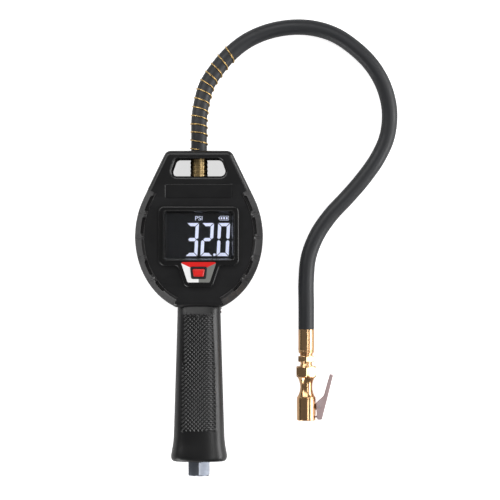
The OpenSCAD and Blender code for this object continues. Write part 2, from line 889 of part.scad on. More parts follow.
module handle_rear_shell() {
  color("#1d1d1f")
    difference() {
      union() {
        difference() {
          intersection() {
            handle_solid();
            half_space(false);
          }
          handle_hollow();
        }
        cradle_ribs(false);
        mirror_x() rod_x(pin_d + 1.4, slot_half_w - 0.4, pin_seat_x - 3.6, pivot_y, pivot_z);
        for (y = handle_screw_at)
          mirror_x() translate([panel_screw_x, y, air_z - 8.6]) cylinder(r = 2.9, h = 8.6);
      }
      rod_y(2 * inlet_neck_r + 0.2, y_heel - 1, y_heel + 24);
      box([-slot_half_w, stem_y - 60, -1], [slot_half_w, y_head + 3.6, pivot_z + 1]);
      rod_x(pin_d + 0.02, -pin_seat_x + 1, 40, pivot_y, pivot_z);
      rod_x(pin_head_d + 0.4, pin_seat_x, 40, pivot_y, pivot_z);
      for (y = handle_screw_at)
        mirror_x() translate([panel_screw_x, y, -1]) {
          cylinder(d = 2.5 + 2 * fit, h = air_z + 2);
          cylinder(d = 5, h = air_z - 4);
        }
    }
}

module grip_panel() {
  color("#17171a")
    difference() {
      intersection() {
        panel_prism(0);
        handle_solid(-0.4);
      }
      handle_solid(panel_t - 0.05);
    }
}

module handle_screws() {
  color("#3c3c40")
    for (y = handle_screw_at)
      mirror_x() translate([panel_screw_x, y, air_z - 5]) screw(2.5, 4.6, 1.6, 12.5);
}

// ================= trigger and valve =================

module trigger_lever() {
  // Side view of the lever, from the hub along the inner face to the tip and back
  profile = rounded([
    [pivot_y - 1, pivot_z + 3.4, 0.4],
    [pivot_y - 11, stem_tip_z + 1.6, 3],
    [pivot_y - 15, stem_tip_z - fit, 3],
    [pivot_y - 30, stem_tip_z - fit, 6],
    [pivot_y - 73, stem_tip_z - 3.7, 2],
    [pivot_y - 79, stem_tip_z - 4.6, 1.2],
    [pivot_y - 78, 1.9, 1],
    [pivot_y - 66, 1, 12],
    [pivot_y - 44, 3.6, 25],
    [pivot_y - 24, 1.6, 14],
    [pivot_y - 12, 4.6, 6],
    [pivot_y - 2, pivot_z - 4, 0.4]
  ], 4);
  color("#2b2b2e")
    difference() {
      union() {
        translate([lever_w / 2, 0, 0]) rotate([0, -90, 0]) rotate(90)
          linear_extrude(lever_w) polygon([for (p = profile) [p[0], -p[1]]]);
        rod_x(2 * hub_r, -lever_w / 2, lever_w / 2, pivot_y, pivot_z);
      }
      rod_x(pin_d + running_gap, -40, 40, pivot_y, pivot_z);
    }
}

module trigger_pin() {
  color("#a8a4a8")
    union() {
      rod_x(pin_d, -pin_seat_x + 1.1, pin_seat_x + eps, pivot_y, pivot_z);
      rod_x(pin_head_d, pin_seat_x, handle_w / 2 + 0.8, pivot_y, pivot_z);
    }
}

module inlet_adapter() {
  color("#6f7684")
    difference() {
      union() {
        hex_y(inlet_af, y_end, y_heel);
        rod_y(2 * inlet_neck_r, y_heel - eps, body_low_y);
        rod_y(2 * inlet_thread_r, body_low_y - eps, body_low_y + inlet_screw_len);
      }
      rod_y(inlet_bore_d, y_end - 1, y_end + 12);
      rod_y(2 * passage_r, y_end + 11, body_low_y + inlet_screw_len + 1);
    }
}

module inlet_filter() {
  color("#b6a98a")
    difference() {
      rod_y(2 * passage_r, y_heel + 3, y_heel + 13);
      rod_y(2 * passage_r - 2, y_heel + 2, y_heel + 12);
    }
}

module inlet_seal() {
  color("#1a1a1a")
    translate([0, body_low_y - 1.4, air_z]) rotate([-90, 0, 0])
      difference() {
        cylinder(r = valve_body_d / 2 - 0.6, h = 1.35);
        translate([0, 0, -1]) cylinder(r = inlet_neck_r + 0.02, h = 4);
      }
}

module valve_body() {
  color("#b9bcc2")
    difference() {
      rod_y(valve_body_d, body_low_y, body_top_y, sides = 72);
      rod_y(2 * inlet_thread_r + 0.1, body_low_y - 1, body_low_y + inlet_screw_len + 1);
      rod_y(2 * passage_r, body_low_y, stem_y - 8);
      rod_y(4, stem_y - 9, stem_y, z = air_z + 2.6);
      rod_y(4, stem_y, body_top_y - tube_seat + 1, z = air_z - 3);
      rod_y(air_tube_d + 0.06, body_top_y - tube_seat, body_top_y + 1);
      translate([0, stem_y, seat_z]) cylinder(r = chamber_r, h = 20);
      translate([0, stem_y, air_z - 7]) cylinder(r = 2.9, h = 12);
      translate([0, stem_y, 0]) cylinder(d = stem_d + running_gap, h = air_z);
      translate([0, stem_y, air_z - 9]) cylinder(r = 3.5, h = 1.8);
    }
}

module valve_stem() {
  color("#c9a45c")
    translate([0, stem_y, 0]) {
      translate([0, 0, stem_tip_z + stem_d / 2]) {
        sphere(d = stem_d);
        cylinder(d = stem_d, h = seat_z - stem_tip_z - stem_d / 2 + 0.5);
      }
      translate([0, 0, seat_z + 0.1]) cylinder(r = 4.4, h = 1.8);
      translate([0, 0, seat_z + 1.8]) cylinder(r = 2.2, h = 1.6);
    }
}

module valve_spring() {
  color("silver")
    translate([0, stem_y, 0])
      coil(spring_r, spring_wire / 2, seat_z + 2.35, cap_z - 0.45, 3.5);
}

module valve_cap() {
  color("#c9a45c")
    translate([0, stem_y, cap_z])
      difference() {
        cylinder(r = chamber_r - 0.01, h = cap_t);
        translate([0, 0, 1.4]) cylinder(d = 4.6, h = 4, $fn = 6);
      }
}

module stem_seal() {
  ring_r = 0.8;
  inner = (stem_d + running_gap) / 2;
  color("#1a1a1a")
    translate([0, stem_y, air_z - 8.1])
      rotate_extrude() translate([inner + ring_r, 0]) circle(r = ring_r);
}

module air_tube() {
  color("#b08a4a")
    difference() {
      rod_y(air_tube_d, body_top_y - tube_seat, block_low_y + 7);
      rod_y(air_tube_d - 2, body_top_y - tube_seat - 1, block_low_y + 8);
    }
}

module outlet_block() {
  block_top_y = block_low_y + block_len;
  color("#b08a4a")
    difference() {
      box([-block_half_w, block_low_y, air_z - block_half_h],
        [block_half_w, block_top_y, air_z + block_half_h]);
      rod_y(air_tube_d + 0.06, block_low_y - 1, block_low_y + 7);
      rod_y(5, block_low_y, block_top_y);
      rod_y(2 * inlet_thread_r + 0.1, block_top_y - outlet_thread_len, block_top_y + 1);
      translate([0, sensor_y - 3, air_z]) cylinder(d = 2, h = 20);
    }
}

module pressure_sensor() {
  color("#c4c8cf")
    translate([0, sensor_y - 1, air_z + block_half_h])
      difference() {
        union() {
          cylinder(r = sensor_r, h = 2.6);
          for (a = [45:90:315])
            rotate(a) translate([3, 0, 2.5]) cylinder(d = 0.6, h = 0.6, $fn = 16);
        }
        translate([0, -2, -1]) cylinder(d = 1.6, h = 2);
      }
}

// Flat ribbon from the sensor over the block's edge to an ear of the circuit board
module sensor_lead() {
  ribbon_t = 0.4;
  board_top = board_z + board_t;
  block_top = air_z + block_half_h;
  color("#9a3a34")
    translate([0, sensor_y - 1.6, 0]) rotate([90, 0, 0])
      linear_extrude(1.6)
        polygon([
          [sensor_r, block_top], [block_half_w + 0.5, block_top], [15.5, board_top], [17, board_top],
          [17, board_top + ribbon_t], [15.6, board_top + ribbon_t],
          [block_half_w + 0.6, block_top + ribbon_t], [sensor_r, block_top + ribbon_t]
        ]);
}

// ================= hose =================

module hose_ferrule_gauge() {
  top_y = hose_exit[1];
  hex_y_low = block_low_y + block_len;
  color("#9a7a45")
    difference() {
      union() {
        rod_y(2 * inlet_thread_r, hex_y_low - outlet_thread_len + 0.5, hex_y_low + eps);
        hex_y(14, hex_y_low, cavity_top_y);
        rod_y(ferrule_d, cavity_top_y - eps, top_y);
      }
      rod_y(5, hex_y_low - outlet_thread_len - 1, top_y - 6);
    }
}

// The hose leaves and ends straight along Y, so that it meets both ferrules face to face
hose_path = concat(
  [hose_exit, hose_exit + [0, 1, 0]],
  [for (k = [1:(len(route) - 1) * route_steps - 1]) hose_exit + route_point(route, k / route_steps)],
  [chuck_at + [0, 1, 0], chuck_at]
);

module hose() {
  color("#1d1f24")
    tube(hose_path, [for (p = hose_path) [0, 0, 1]], hose_d / 2, hose_sides);
}

module hose_spring_guard() {
  n = ceil(guard_turns * guard_rings_per_turn);
  wind_r = hose_d / 2 + guard_wire / 2;
  at = [for (k = [0:n]) guard_from + (guard_to - guard_from) * k / n];
  normals = [
    for (k = [0:n])
      let (
        t = unit(route_point(route, at[k] + 0.05) - route_point(route, at[k] - 0.05)),
        side = unit(cross(t, [0, 0, 1])),
        up = cross(side, t),
        a = 360 * k / guard_rings_per_turn
      )
      cos(a) * up - sin(a) * side
  ];
  color("#c9a45c")
    tube([for (k = [0:n]) hose_exit + route_point(route, at[k]) + wind_r * normals[k]],
      normals, guard_wire / 2, guard_sides);
}

// ================= chuck =================

// Everything on the chuck is drawn with its axis along +Z and its hose end at 0
module chuck_frame() {
  translate(chuck_at) rotate([90, 0, 0]) children();
}

module hose_ferrule_chuck() {
  color("#d9a254")
    chuck_frame() difference() {
      rotate_extrude()
        polygon([
          [0, 0], [hose_d / 2 + 0.1, 0], [hose_d / 2 + 0.1, chuck_ferrule_len - 0.6],
          [hose_d / 2 - 0.5, chuck_ferrule_len], [0, chuck_ferrule_len]
        ]);
      translate([0, 0, 6]) cylinder(d = 5, h = 20);
    }
}

module hose_adapter() {
  color("#d9a254")
    chuck_frame() difference() {
      union() {
        translate([0, 0, chuck_ferrule_len]) cylinder(r = 5.4, h = chuck_hex_at - chuck_ferrule_len);
        translate([0, 0, adapter_hex_at]) rotate(30)
          cylinder(d = adapter_af / cos(30), h = adapter_hex_len, $fn = 6);
        translate([0, 0, chuck_hex_at - eps]) cylinder(r = 4, h = 6);
      }
      translate([0, 0, chuck_ferrule_len - 1]) cylinder(d = 5, h = 30);
    }
}

module chuck_body() {
  r = chuck_d / 2;
  waist_at = (chuck_hex_at + chuck_hex_len + chuck_body_at) / 2;
  flank = (chuck_body_at - chuck_hex_at - chuck_hex_len) / 2;
  dip = r - 0.6 - waist_r;
  arc_r = (flank * flank + dip * dip) / (2 * dip);
  color("#d9a254")
    chuck_frame() difference() {
      union() {
        intersection() {
          translate([0, 0, chuck_hex_at]) rotate(30)
            cylinder(d = chuck_af / cos(30), h = chuck_hex_len, $fn = 6);
          rotate_extrude()
            polygon([
              [0, chuck_hex_at], [chuck_af / 2 + 0.2, chuck_hex_at],
              [chuck_af / cos(30) / 2, chuck_hex_at + 0.9],
              [chuck_af / cos(30) / 2, chuck_hex_at + chuck_hex_len - 1.6],
              [r - 0.4, chuck_hex_at + chuck_hex_len], [0, chuck_hex_at + chuck_hex_len]
            ]);
        }
        rotate_extrude()
          difference() {
            translate([0, chuck_hex_at + chuck_hex_len - 0.4])
              square([r - 0.6, chuck_body_at - chuck_hex_at - chuck_hex_len + 0.8]);
            translate([waist_r + arc_r, waist_at]) circle(r = arc_r, $fn = 96);
          }
        rotate_extrude()
          polygon([
            [0, chuck_body_at], [r - 0.6, chuck_body_at], [r, chuck_body_at + 0.6],
            [r, chuck_end_at - 0.6], [r - 0.6, chuck_end_at], [0, chuck_end_at]
          ]);
        translate([r - 1.5, -lug_half, clip_pivot[1] - 2.4])
          cube([clip_pivot[0] - r + 3.4, 2 * lug_half, 4.8]);
      }
      translate([0, 0, chuck_hex_at - 1]) cylinder(r = 4.05, h = 8);
      translate([0, 0, chuck_hex_at]) cylinder(d = 5, h = 40);
      translate([0, 0, chuck_end_at - socket_depth]) cylinder(d = valve_socket_d, h = socket_depth + 1);
      translate([0, 0, chuck_end_at - socket_depth - 3]) cylinder(r = 5.1, h = 3 + eps);
      translate([clip_pivot[0], 0, clip_pivot[1]]) rotate([90, 0, 0])
        translate([0, 0, -20]) cylinder(d = clip_pin_d + 0.02, h = 40);
      translate([valve_socket_d / 2 - 1.6, -2.5, chuck_end_at - 4.4]) cube([20, 5, 3.2]);
    }
}

module chuck_seal() {
  seal_at = chuck_end_at - socket_depth - 2.9;
  color("#1a1a1a")
    chuck_frame() translate([0, 0, seal_at])
      difference() {
        cylinder(r = 5.05, h = 2.6);
        translate([0, 0, -1]) cylinder(r = 2.6, h = 5);
      }
}

module chuck_core_pin() {
  color("#d9a254")
    chuck_frame() translate([0, 0, chuck_end_at - socket_depth - 6])
      difference() {
        union() {
          cylinder(r = 2.45, h = 1.4);
          cylinder(r = 0.9, h = 5.8);
        }
        for (a = [0:120:240])
          rotate(a) translate([1.65, 0, -1]) cylinder(r = 0.5, h = 4, $fn = 24);
      }
}

// Clip lever: a folded channel whose two cheeks straddle the lug, with a claw into the socket
module chuck_lever() {
  px = clip_pivot[0];
  pz = clip_pivot[1];
  cheek = rounded([
    [px - 2.4, pz - 2.8, 0.8], [px + 3.9, pz - 8.6, 0.5], [px + 8.9, pz - 26.4, 0.8],
    [px + 11.5, pz - 26, 0.6], [px + 2.2, chuck_end_at - 0.8, 0.8],
    [px - 1.6, chuck_end_at - 0.8, 0.8]
  ], 3);
  web = rounded([
    [px + 5, pz - 4.4, 0.3], [px + 10.5, pz - 26, 0.3], [px + 11.4, pz - 25.9, 0.3],
    [px + 5.8, pz - 3.2, 0.3]
  ], 3);
  claw = rounded([
    [valve_socket_d / 2 + 0.15, chuck_end_at - 3.8, 0.3], [px + 1.8, chuck_end_at - 4, 0.3],
    [px + 1.8, chuck_end_at - 2.2, 0.3], [valve_socket_d / 2 + 0.15, chuck_end_at - 2.6, 0.3]
  ], 3);
  outer_half = cheek_gap / 2 + cheek_t;
  color("#b7a2a0")
    chuck_frame() rotate([90, 0, 0]) difference() {
      union() {
        for (z = [cheek_gap / 2, -outer_half])
          translate([0, 0, z]) linear_extrude(cheek_t) polygon(cheek);
        translate([0, 0, -outer_half]) linear_extrude(2 * outer_half) polygon(web);
        translate([0, 0, -2.2]) linear_extrude(4.4) polygon(claw);
        translate([0, 0, -outer_half]) linear_extrude(2 * outer_half)
          polygon([
            [px + 0.3, chuck_end_at - 4], [px + 1.9, chuck_end_at - 4],
            [px + 1.9, chuck_end_at - 1.4], [px + 0.3, chuck_end_at - 1.4]
          ]);
      }
      translate([px, pz, -20]) cylinder(d = clip_pin_d + running_gap, h = 40);
    }
}

module chuck_pin() {
  half = cheek_gap / 2 + cheek_t + 0.4;
  color("silver")
    chuck_frame() translate([clip_pivot[0], 0, clip_pivot[1]]) rotate([90, 0, 0])
      translate([0, 0, -half]) cylinder(d = clip_pin_d, h = 2 * half);
}

// Torsion spring: a short coil round the pin on each side of the lug
module chuck_lever_spring() {
  wire_r = 0.25;
  from_lug = lug_half + wire_r + 0.05;
  to_cheek = cheek_gap / 2 - wire_r - 0.1;
  color("silver")
    chuck_frame() translate([clip_pivot[0], 0, clip_pivot[1]]) rotate([90, 0, 0]) {
      coil(clip_pin_d / 2 + wire_r + 0.15, wire_r, from_lug, to_cheek, 1.75, 12, 6);
      mirror([0, 0, 1]) coil(clip_pin_d / 2 + wire_r + 0.15, wire_r, from_lug, to_cheek, 1.75, 12, 6);
    }
}

front_shell();
rear_shell();
bumper_boot();
nameplate();
display_bezel();
display_window();
lcd_module();
backlight();
circuit_board();
board_screws();
mode_button();
button_seal();
button_label();
dome_switch();
battery_cover();
battery_cover_screw();
batteries();
battery_contacts();
shell_screws();
handle_front_shell();
handle_rear_shell();
grip_panel();
handle_screws();
trigger_lever();
trigger_pin();
inlet_adapter();
inlet_filter();
inlet_seal();
valve_body();
valve_stem();
valve_spring();
valve_cap();
stem_seal();
air_tube();
outlet_block();
pressure_sensor();
sensor_lead();
hose_ferrule_gauge();
hose();
hose_spring_guard();
hose_ferrule_chuck();
hose_adapter();
chuck_body();
chuck_seal();
chuck_core_pin();
chuck_lever();
chuck_pin();
chuck_lever_spring();
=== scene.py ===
"""Builds the looks of a hand-held tyre inflator round its fixed frame: casings, grip, hose, chuck."""

import math

import bpy
import bmesh
import numpy as np
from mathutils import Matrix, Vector
from mathutils.geometry import delaunay_2d_cdt, tessellate_polygon


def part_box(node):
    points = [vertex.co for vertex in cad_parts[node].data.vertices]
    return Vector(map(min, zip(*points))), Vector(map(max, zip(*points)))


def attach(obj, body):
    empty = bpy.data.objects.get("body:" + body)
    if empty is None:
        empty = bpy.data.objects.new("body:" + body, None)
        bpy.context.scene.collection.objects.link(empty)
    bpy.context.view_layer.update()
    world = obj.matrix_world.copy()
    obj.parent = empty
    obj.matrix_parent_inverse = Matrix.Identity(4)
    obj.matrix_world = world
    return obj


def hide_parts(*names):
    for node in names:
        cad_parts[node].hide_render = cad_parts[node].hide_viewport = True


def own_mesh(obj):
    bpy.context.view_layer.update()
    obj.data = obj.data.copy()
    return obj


bl_info = {
    "name": "Tyre Inflator Builder",
    "version": (1, 0, 0),
    "blender": (4, 5, 0),
    "location": "View3D > Sidebar > Inflator",
    "description": "Finishes a hand-held digital tyre inflator piece by piece",
    "category": "Object",
}

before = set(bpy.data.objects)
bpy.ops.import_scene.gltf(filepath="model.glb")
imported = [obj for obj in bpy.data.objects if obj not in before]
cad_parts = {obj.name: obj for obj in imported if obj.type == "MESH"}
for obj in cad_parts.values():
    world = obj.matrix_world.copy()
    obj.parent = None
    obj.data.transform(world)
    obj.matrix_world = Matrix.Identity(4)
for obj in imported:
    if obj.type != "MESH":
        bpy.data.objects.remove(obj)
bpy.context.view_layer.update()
MM = 0.001


def span(node):
    """Lowest and highest corner of a CAD node, in millimetres."""
    low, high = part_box(node)
    return low / MM, high / MM


# ---- driving places, in millimetres: +Y runs from the air inlet to the hanging loop, +Z out of the display
HEAD_HALF = span("bumper_boot")[1].x
Y_TOP = span("front_shell")[1].y
FACE_Z = span("front_shell")[1].z
AIR_Z = (span("inlet_adapter")[0].z + span("inlet_adapter")[1].z) / 2
Y_END = span("inlet_adapter")[0].y
Y_HEEL = span("handle_rear_shell")[0].y
NECK_LEN = 9.0
Y_HEAD = span("handle_rear_shell")[1].y - NECK_LEN
HANDLE_LEN = Y_HEAD - Y_HEEL
BELLY_Y = Y_HEAD + 57.0
BELLY_DROP = 61.0
SHOULDER_R = 72.0
CORNER_R = 6.0
CORNER = np.array((22.4, Y_TOP - CORNER_R))
WALL = 2.4
BOOT_TOP_Y = span("bumper_boot")[1].y
NECK_GAP_X = 20.6


# ---------- points and outlines ----------

def unit(v):
    return v / np.linalg.norm(v)


def turn(angle):
    return np.array((math.cos(angle), math.sin(angle)))


def rounded(corners, steps=7):
    """A closed outline whose corners are rounded; each corner is (x, y, radius)."""
    points = []
    for i, (x, y, r) in enumerate(corners):
        b = np.array((x, y))
        u = unit(np.array(corners[i - 1][:2]) - b)
        v = unit(np.array(corners[(i + 1) % len(corners)][:2]) - b)
        half = math.acos(max(-1.0, min(1.0, float(u @ v)))) / 2
        centre = b + unit(u + v) * r / math.sin(half)
        first = b + u * r / math.tan(half) - centre
        last = b + v * r / math.tan(half) - centre
        start = math.atan2(first[1], first[0])
        sweep = (math.atan2(last[1], last[0]) - start + math.pi) % (2 * math.pi) - math.pi
        points += [centre + r * turn(start + sweep * k / steps) for k in range(steps + 1)]
    return np.array(points)


def trapezium(half_low, half_top, y_low, y_high, r, steps=7):
    return rounded([(half_low, y_low, r), (half_top, y_high, r),
                    (-half_top, y_high, r), (-half_low, y_low, r)], steps)


def rectangle(half, y_low, y_high, r, steps=7):
    return trapezium(half, half, y_low, y_high, r, steps)


def circle(x, y, r, steps=40):
    return np.array([(x + r * math.cos(a), y + r * math.sin(a))
                     for a in np.linspace(0, 2 * math.pi, steps, endpoint=False)])


def spread(outline, amount):
    """The outline grown by amount, or shrunk where amount is negative."""
    edges = np.roll(outline, -1, 0) - outline
    edges = edges / np.linalg.norm(edges, axis=1)[:, None]
    out = np.stack((edges[:, 1], -edges[:, 0]), 1)
    before = np.roll(out, 1, 0)
    mitre = (out + before) / (1 + (out * before).sum(1))[:, None]
    return outline + amount * mitre


def head_side():
    """Right half of the head's outline, as (place, outward normal, covered by the boot)."""
    low = math.asin((BELLY_Y - Y_HEAD) / BELLY_DROP)
    gap = math.acos(NECK_GAP_X / HEAD_HALF)
    rows = []

    def belly(a, covered):
        normal = unit(np.array((BELLY_DROP * math.cos(a), -HEAD_HALF * math.sin(a))))
        place = np.array((HEAD_HALF * math.cos(a), BELLY_Y - BELLY_DROP * math.sin(a)))
        rows.append((place, normal, covered))

    for a in np.linspace(low, gap, 4):
        belly(a, False)
    for a in np.linspace(gap, 0, 74):
        belly(a, True)
    shoulder = np.array((HEAD_HALF - SHOULDER_R, BELLY_Y))
    between = shoulder - CORNER
    lean = math.atan2(between[1], between[0]) + math.acos((CORNER_R - SHOULDER_R) / np.linalg.norm(between))
    for a in np.linspace(0, lean, 40)[1:]:
        rows.append((shoulder + SHOULDER_R * turn(a), turn(a), True))
    side = turn(lean)
    start = shoulder + SHOULDER_R * side
    end = CORNER + CORNER_R * side
    at_boot = start + (end - start) * (BOOT_TOP_Y - start[1]) / (end[1] - start[1])
    for t in np.linspace(0, 1, 8)[1:]:
        rows.append((start + (at_boot - start) * t, side, True))
    for t in np.linspace(0, 1, 14):
        rows.append((at_boot + (end - at_boot) * t, side, False))
    for a in np.linspace(lean, math.pi / 2, 12)[1:]:
        rows.append((CORNER + CORNER_R * turn(a), turn(a), False))
    return rows


HEAD_SIDE = head_side()


def head_outline(inset, covered_inset=None):
    """The head's outline, inset by one amount where it is open and by another under the boot."""
    under = inset if covered_inset is None else covered_inset
    right = [p - n * (under if covered else inset) for p, n, covered in HEAD_SIDE]
    left = [np.array((-p[0], p[1])) for p in reversed(right)]
    return np.array(right + left)


def clipped(outline, y_max):
    """The part of a closed outline below y_max."""
    kept = []
    for a, b in zip(outline, np.roll(outline, -1, 0)):
        if a[1] <= y_max:
            kept.append(a)
        if (a[1] <= y_max) != (b[1] <= y_max):
            kept.append(a + (b - a) * (y_max - a[1]) / (b[1] - a[1]))
    return np.array(kept)


# ---------- skins: points and faces gathered ring by ring, in millimetres ----------

class Skin:
    """A mesh in the making. A face's finish is the number of its material."""

    def __init__(self):
        self.points = []
        self.faces = []
        self.finishes = []

    def ring(self, points):
        start = len(self.points)
        self.points += [tuple(float(c) for c in p) for p in points]
        return list(range(start, len(self.points)))

    def level(self, outline, z):
        return self.ring([(p[0], p[1], z) for p in outline])

    def face(self, corners, finish=0):
        self.faces.append(tuple(corners))
        self.finishes.append(finish)

    def bridge(self, a, b, finish=0, closed=True):
        count = len(a)
        for i in range(count if closed else count - 1):
            j = (i + 1) % count
            self.face((a[i], a[j], b[j], b[i]), finish)

    def stack(self, levels, finish=0):
        """Skins outlines of equal length, each (outline, z), and returns the first and last ring."""
        rings = [self.level(outline, z) for outline, z in levels]
        for a, b in zip(rings, rings[1:]):
            self.bridge(a, b, finish)
        return rings[0], rings[-1]

    def cap(self, outer, *holes, finish=0):
        loops = [outer, *holes]
        flat = [i for loop in loops for i in loop]
        for tri in tessellate_polygon([[Vector(self.points[i]) for i in loop] for loop in loops]):
            self.face([flat[k] for k in tri], finish)

    def slab(self, levels):
        """A closed body of outlines, each (outline, z)."""
        for ring in self.stack(levels):
            self.cap(ring)

    def plate(self, place, outline, low, high, hole=None):
        """A flat plate between two distances, bored where a hole is given."""
        loops = []
        for edge in (outline,) if hole is None else (outline, hole):
            pair = [self.ring([place(p[0], p[1], at) for p in edge]) for at in (low, high)]
            self.bridge(*pair)
            loops.append(pair)
        for ends in zip(*loops):
            self.cap(*ends)

    def bar(self, place, sections, steps=72, loop=False, finish=0, hex_turn=30.0):
        """A turned bar. A section is (along, radius), with the width across flats where it is hexagonal."""
        rings = []
        for section in sections:
            along, radius = section[:2]
            ring = []
            for k in range(steps):
                a = 360.0 * k / steps
                r = radius
                if len(section) > 2:
                    from_flat = (a - hex_turn) % 60.0 - 30.0
                    r = min(r, section[2] / 2 / math.cos(math.radians(from_flat)))
                ring.append(place(r * math.cos(math.radians(a)), r * math.sin(math.radians(a)), along))
            rings.append(self.ring(ring))
        for a, b in zip(rings, rings[1:] + (rings[:1] if loop else [])):
            self.bridge(a, b, finish)
        if not loop:
            self.face(rings[0], finish)
            self.face(rings[-1], finish)

    def tube(self, path, normals, radius, sides, finish=0):
        """A round wire along a path, closed flat at both ends; returns the distance along it at each ring."""
        path = np.array(path, float)
        steps = np.linalg.norm(np.diff(path, axis=0), axis=1)
        along = np.concatenate(([0], np.cumsum(steps)))
        rings = []
        for i, p in enumerate(path):
            t = unit(path[min(i + 1, len(path) - 1)] - path[max(i - 1, 0)])
            u = unit(normals[i] - t * (normals[i] @ t))
            v = np.cross(t, u)
            rings.append(self.ring([p + radius * (math.cos(a) * u + math.sin(a) * v)
                                    for a in np.linspace(0, 2 * math.pi, sides, endpoint=False)]))
        for a, b in zip(rings, rings[1:]):
            self.bridge(a, b, finish)
        self.face(rings[0], finish)
        self.face(rings[-1], finish)
        return along

    def build(self, name, materials, crease=35.0):
        mesh = bpy.data.meshes.new(name)
        mesh.from_pydata([Vector(p) * MM for p in self.points], [], self.faces)
        for material in materials:
            mesh.materials.append(material)
        mesh.polygons.foreach_set("material_index", self.finishes)
        bm = bmesh.new()
        bm.from_mesh(mesh)
        bmesh.ops.remove_doubles(bm, verts=bm.verts, dist=2e-7)
        bmesh.ops.dissolve_degenerate(bm, edges=bm.edges, dist=1e-7)
        bmesh.ops.recalc_face_normals(bm, faces=bm.faces)
        bm.to_mesh(mesh)
        bm.free()
        smooth(mesh, crease)
        return link(name, mesh)


def link(name, data):
    """A new object in the scene."""
    obj = bpy.data.objects.new(name, data)
    bpy.context.scene.collection.objects.link(obj)
    return obj


def smooth(mesh, crease):
    mesh.polygons.foreach_set("use_smooth", [True] * len(mesh.polygons))
    mesh.set_sharp_from_angle(angle=math.radians(crease))


def settle(obj):
    """Turns an object's modifiers into plain mesh."""
    graph = bpy.context.evaluated_depsgraph_get()
    mesh = bpy.data.meshes.new_from_object(obj.evaluated_get(graph), preserve_all_data_layers=True,
                                           depsgraph=graph)
    mesh.name = obj.name
    obj.modifiers.clear()
    obj.data = mesh


def soften(obj, width=0.0, segments=2, crease=35.0):
    """Bevels sharp edges by a width in millimetres and weights the normals by face area."""
    if width:
        bevel = obj.modifiers.new("edges", "BEVEL")
        bevel.width = width * MM
        bevel.segments = segments
        bevel.limit_method = "ANGLE"
        bevel.angle_limit = math.radians(crease)
        bevel.use_clamp_overlap = True
        settle(obj)
        smooth(obj.data, crease)
    weigh = obj.modifiers.new("normals", "WEIGHTED_NORMAL")
    weigh.keep_sharp = True
    settle(obj)
    return obj


def cut(obj, *tools, operation="DIFFERENCE"):
    """Subtracts closed pieces from obj, or keeps what they cover, and removes them."""
    for tool in tools:
        knife = obj.modifiers.new("cut", "BOOLEAN")
        knife.operation = operation
        knife.solver = "EXACT"
        knife.object = tool
        settle(obj)
        bpy.data.objects.remove(tool)


def seat(obj, body, slot, *nodes):
    """Puts a finished piece on its body, in place of its CAD nodes."""
    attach(obj, body)
    if nodes:
        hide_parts(*nodes)
    return obj


def prism(name, outline, z_low, z_high, materials=()):
    skin = Skin()
    skin.slab([(outline, z_low), (outline, z_high)])
    return skin.build(name, materials)


def turned(name, material, place, sections, steps=96, loop=True, crease=30.0):
    skin = Skin()
    skin.bar(place, sections, steps, loop)
    return skin.build(name, [material], crease)


def along_y(x, z):
    return lambda u, v, along: (x + u, along, z + v)


# ---------- finishes ----------

def put(tree, kind, settings=None, inputs=None):
    """Adds a node; an input is a value or another node's output."""
    node = tree.nodes.new(kind)
    for key, value in (settings or {}).items():
        setattr(node, key, value)
    for key, value in (inputs or {}).items():
        if isinstance(value, bpy.types.NodeSocket):
            tree.links.new(value, node.inputs[key])
        else:
            node.inputs[key].default_value = value
    return node


def maths(tree, operation, a, b=0.0, clamp=False):
    return put(tree, "ShaderNodeMath", {"operation": operation, "use_clamp": clamp}, {0: a, 1: b}).outputs[0]


def own_place(tree):
    """A point in the piece's own frame."""
    return tree.nodes.new("ShaderNodeTexCoord").outputs["Object"]


def times(tree, a, b, clamp=False):
    return maths(tree, "MULTIPLY", a, b, clamp)


def vector_maths(tree, operation, a, b):
    return put(tree, "ShaderNodeVectorMath", {"operation": operation}, {0: a, 1: b}).outputs[0]


def surface_group(name, inputs, make):
    """A shader group with a Height and a Tone output, both from 0 to 1."""
    tree = bpy.data.node_groups.new(name, "ShaderNodeTree")
    for label, default in inputs:
        socket = tree.interface.new_socket(label, in_out="INPUT", socket_type="NodeSocketFloat")
        socket.default_value = default
    for label in ("Height", "Tone"):
        tree.interface.new_socket(label, in_out="OUTPUT", socket_type="NodeSocketFloat")
    entry = tree.nodes.new("NodeGroupInput")
    leave = tree.nodes.new("NodeGroupOutput")
    height, tone = make(tree, entry)
    tree.links.new(height, leave.inputs["Height"])
    tree.links.new(tone, leave.inputs["Tone"])
    return tree


def noise(tree, vector, scale, detail=3.0, rough=0.55):
    return put(tree, "ShaderNodeTexNoise", None,
               {"Vector": vector, "Scale": scale, "Detail": detail, "Roughness": rough}).outputs[0]


def moulded_grain(tree, entry):
    """Fine spark-eroded grain, with broad soft blotches where hands have polished it."""
    place = own_place(tree)
    fine = noise(tree, place, entry.outputs["Grain"], 4.0, 0.6)
    cells = put(tree, "ShaderNodeTexVoronoi", None,
                {"Vector": place, "Scale": entry.outputs["Grain"]}).outputs["Distance"]
    height = maths(tree, "ADD", times(tree, fine, 0.6), times(tree, cells, 0.4))
    return height, noise(tree, place, entry.outputs["Blotch"], 5.0, 0.6)


def turned_lines(tree, entry):
    """Tool marks that run round a bar along Y, over slow changes of tone."""
    place = own_place(tree)
    flat = vector_maths(tree, "MULTIPLY", place, (0.04, 1.0, 0.04))
    lines = noise(tree, flat, entry.outputs["Grain"], 2.0, 0.7)
    return lines, noise(tree, place, entry.outputs["Blotch"], 4.0, 0.6)


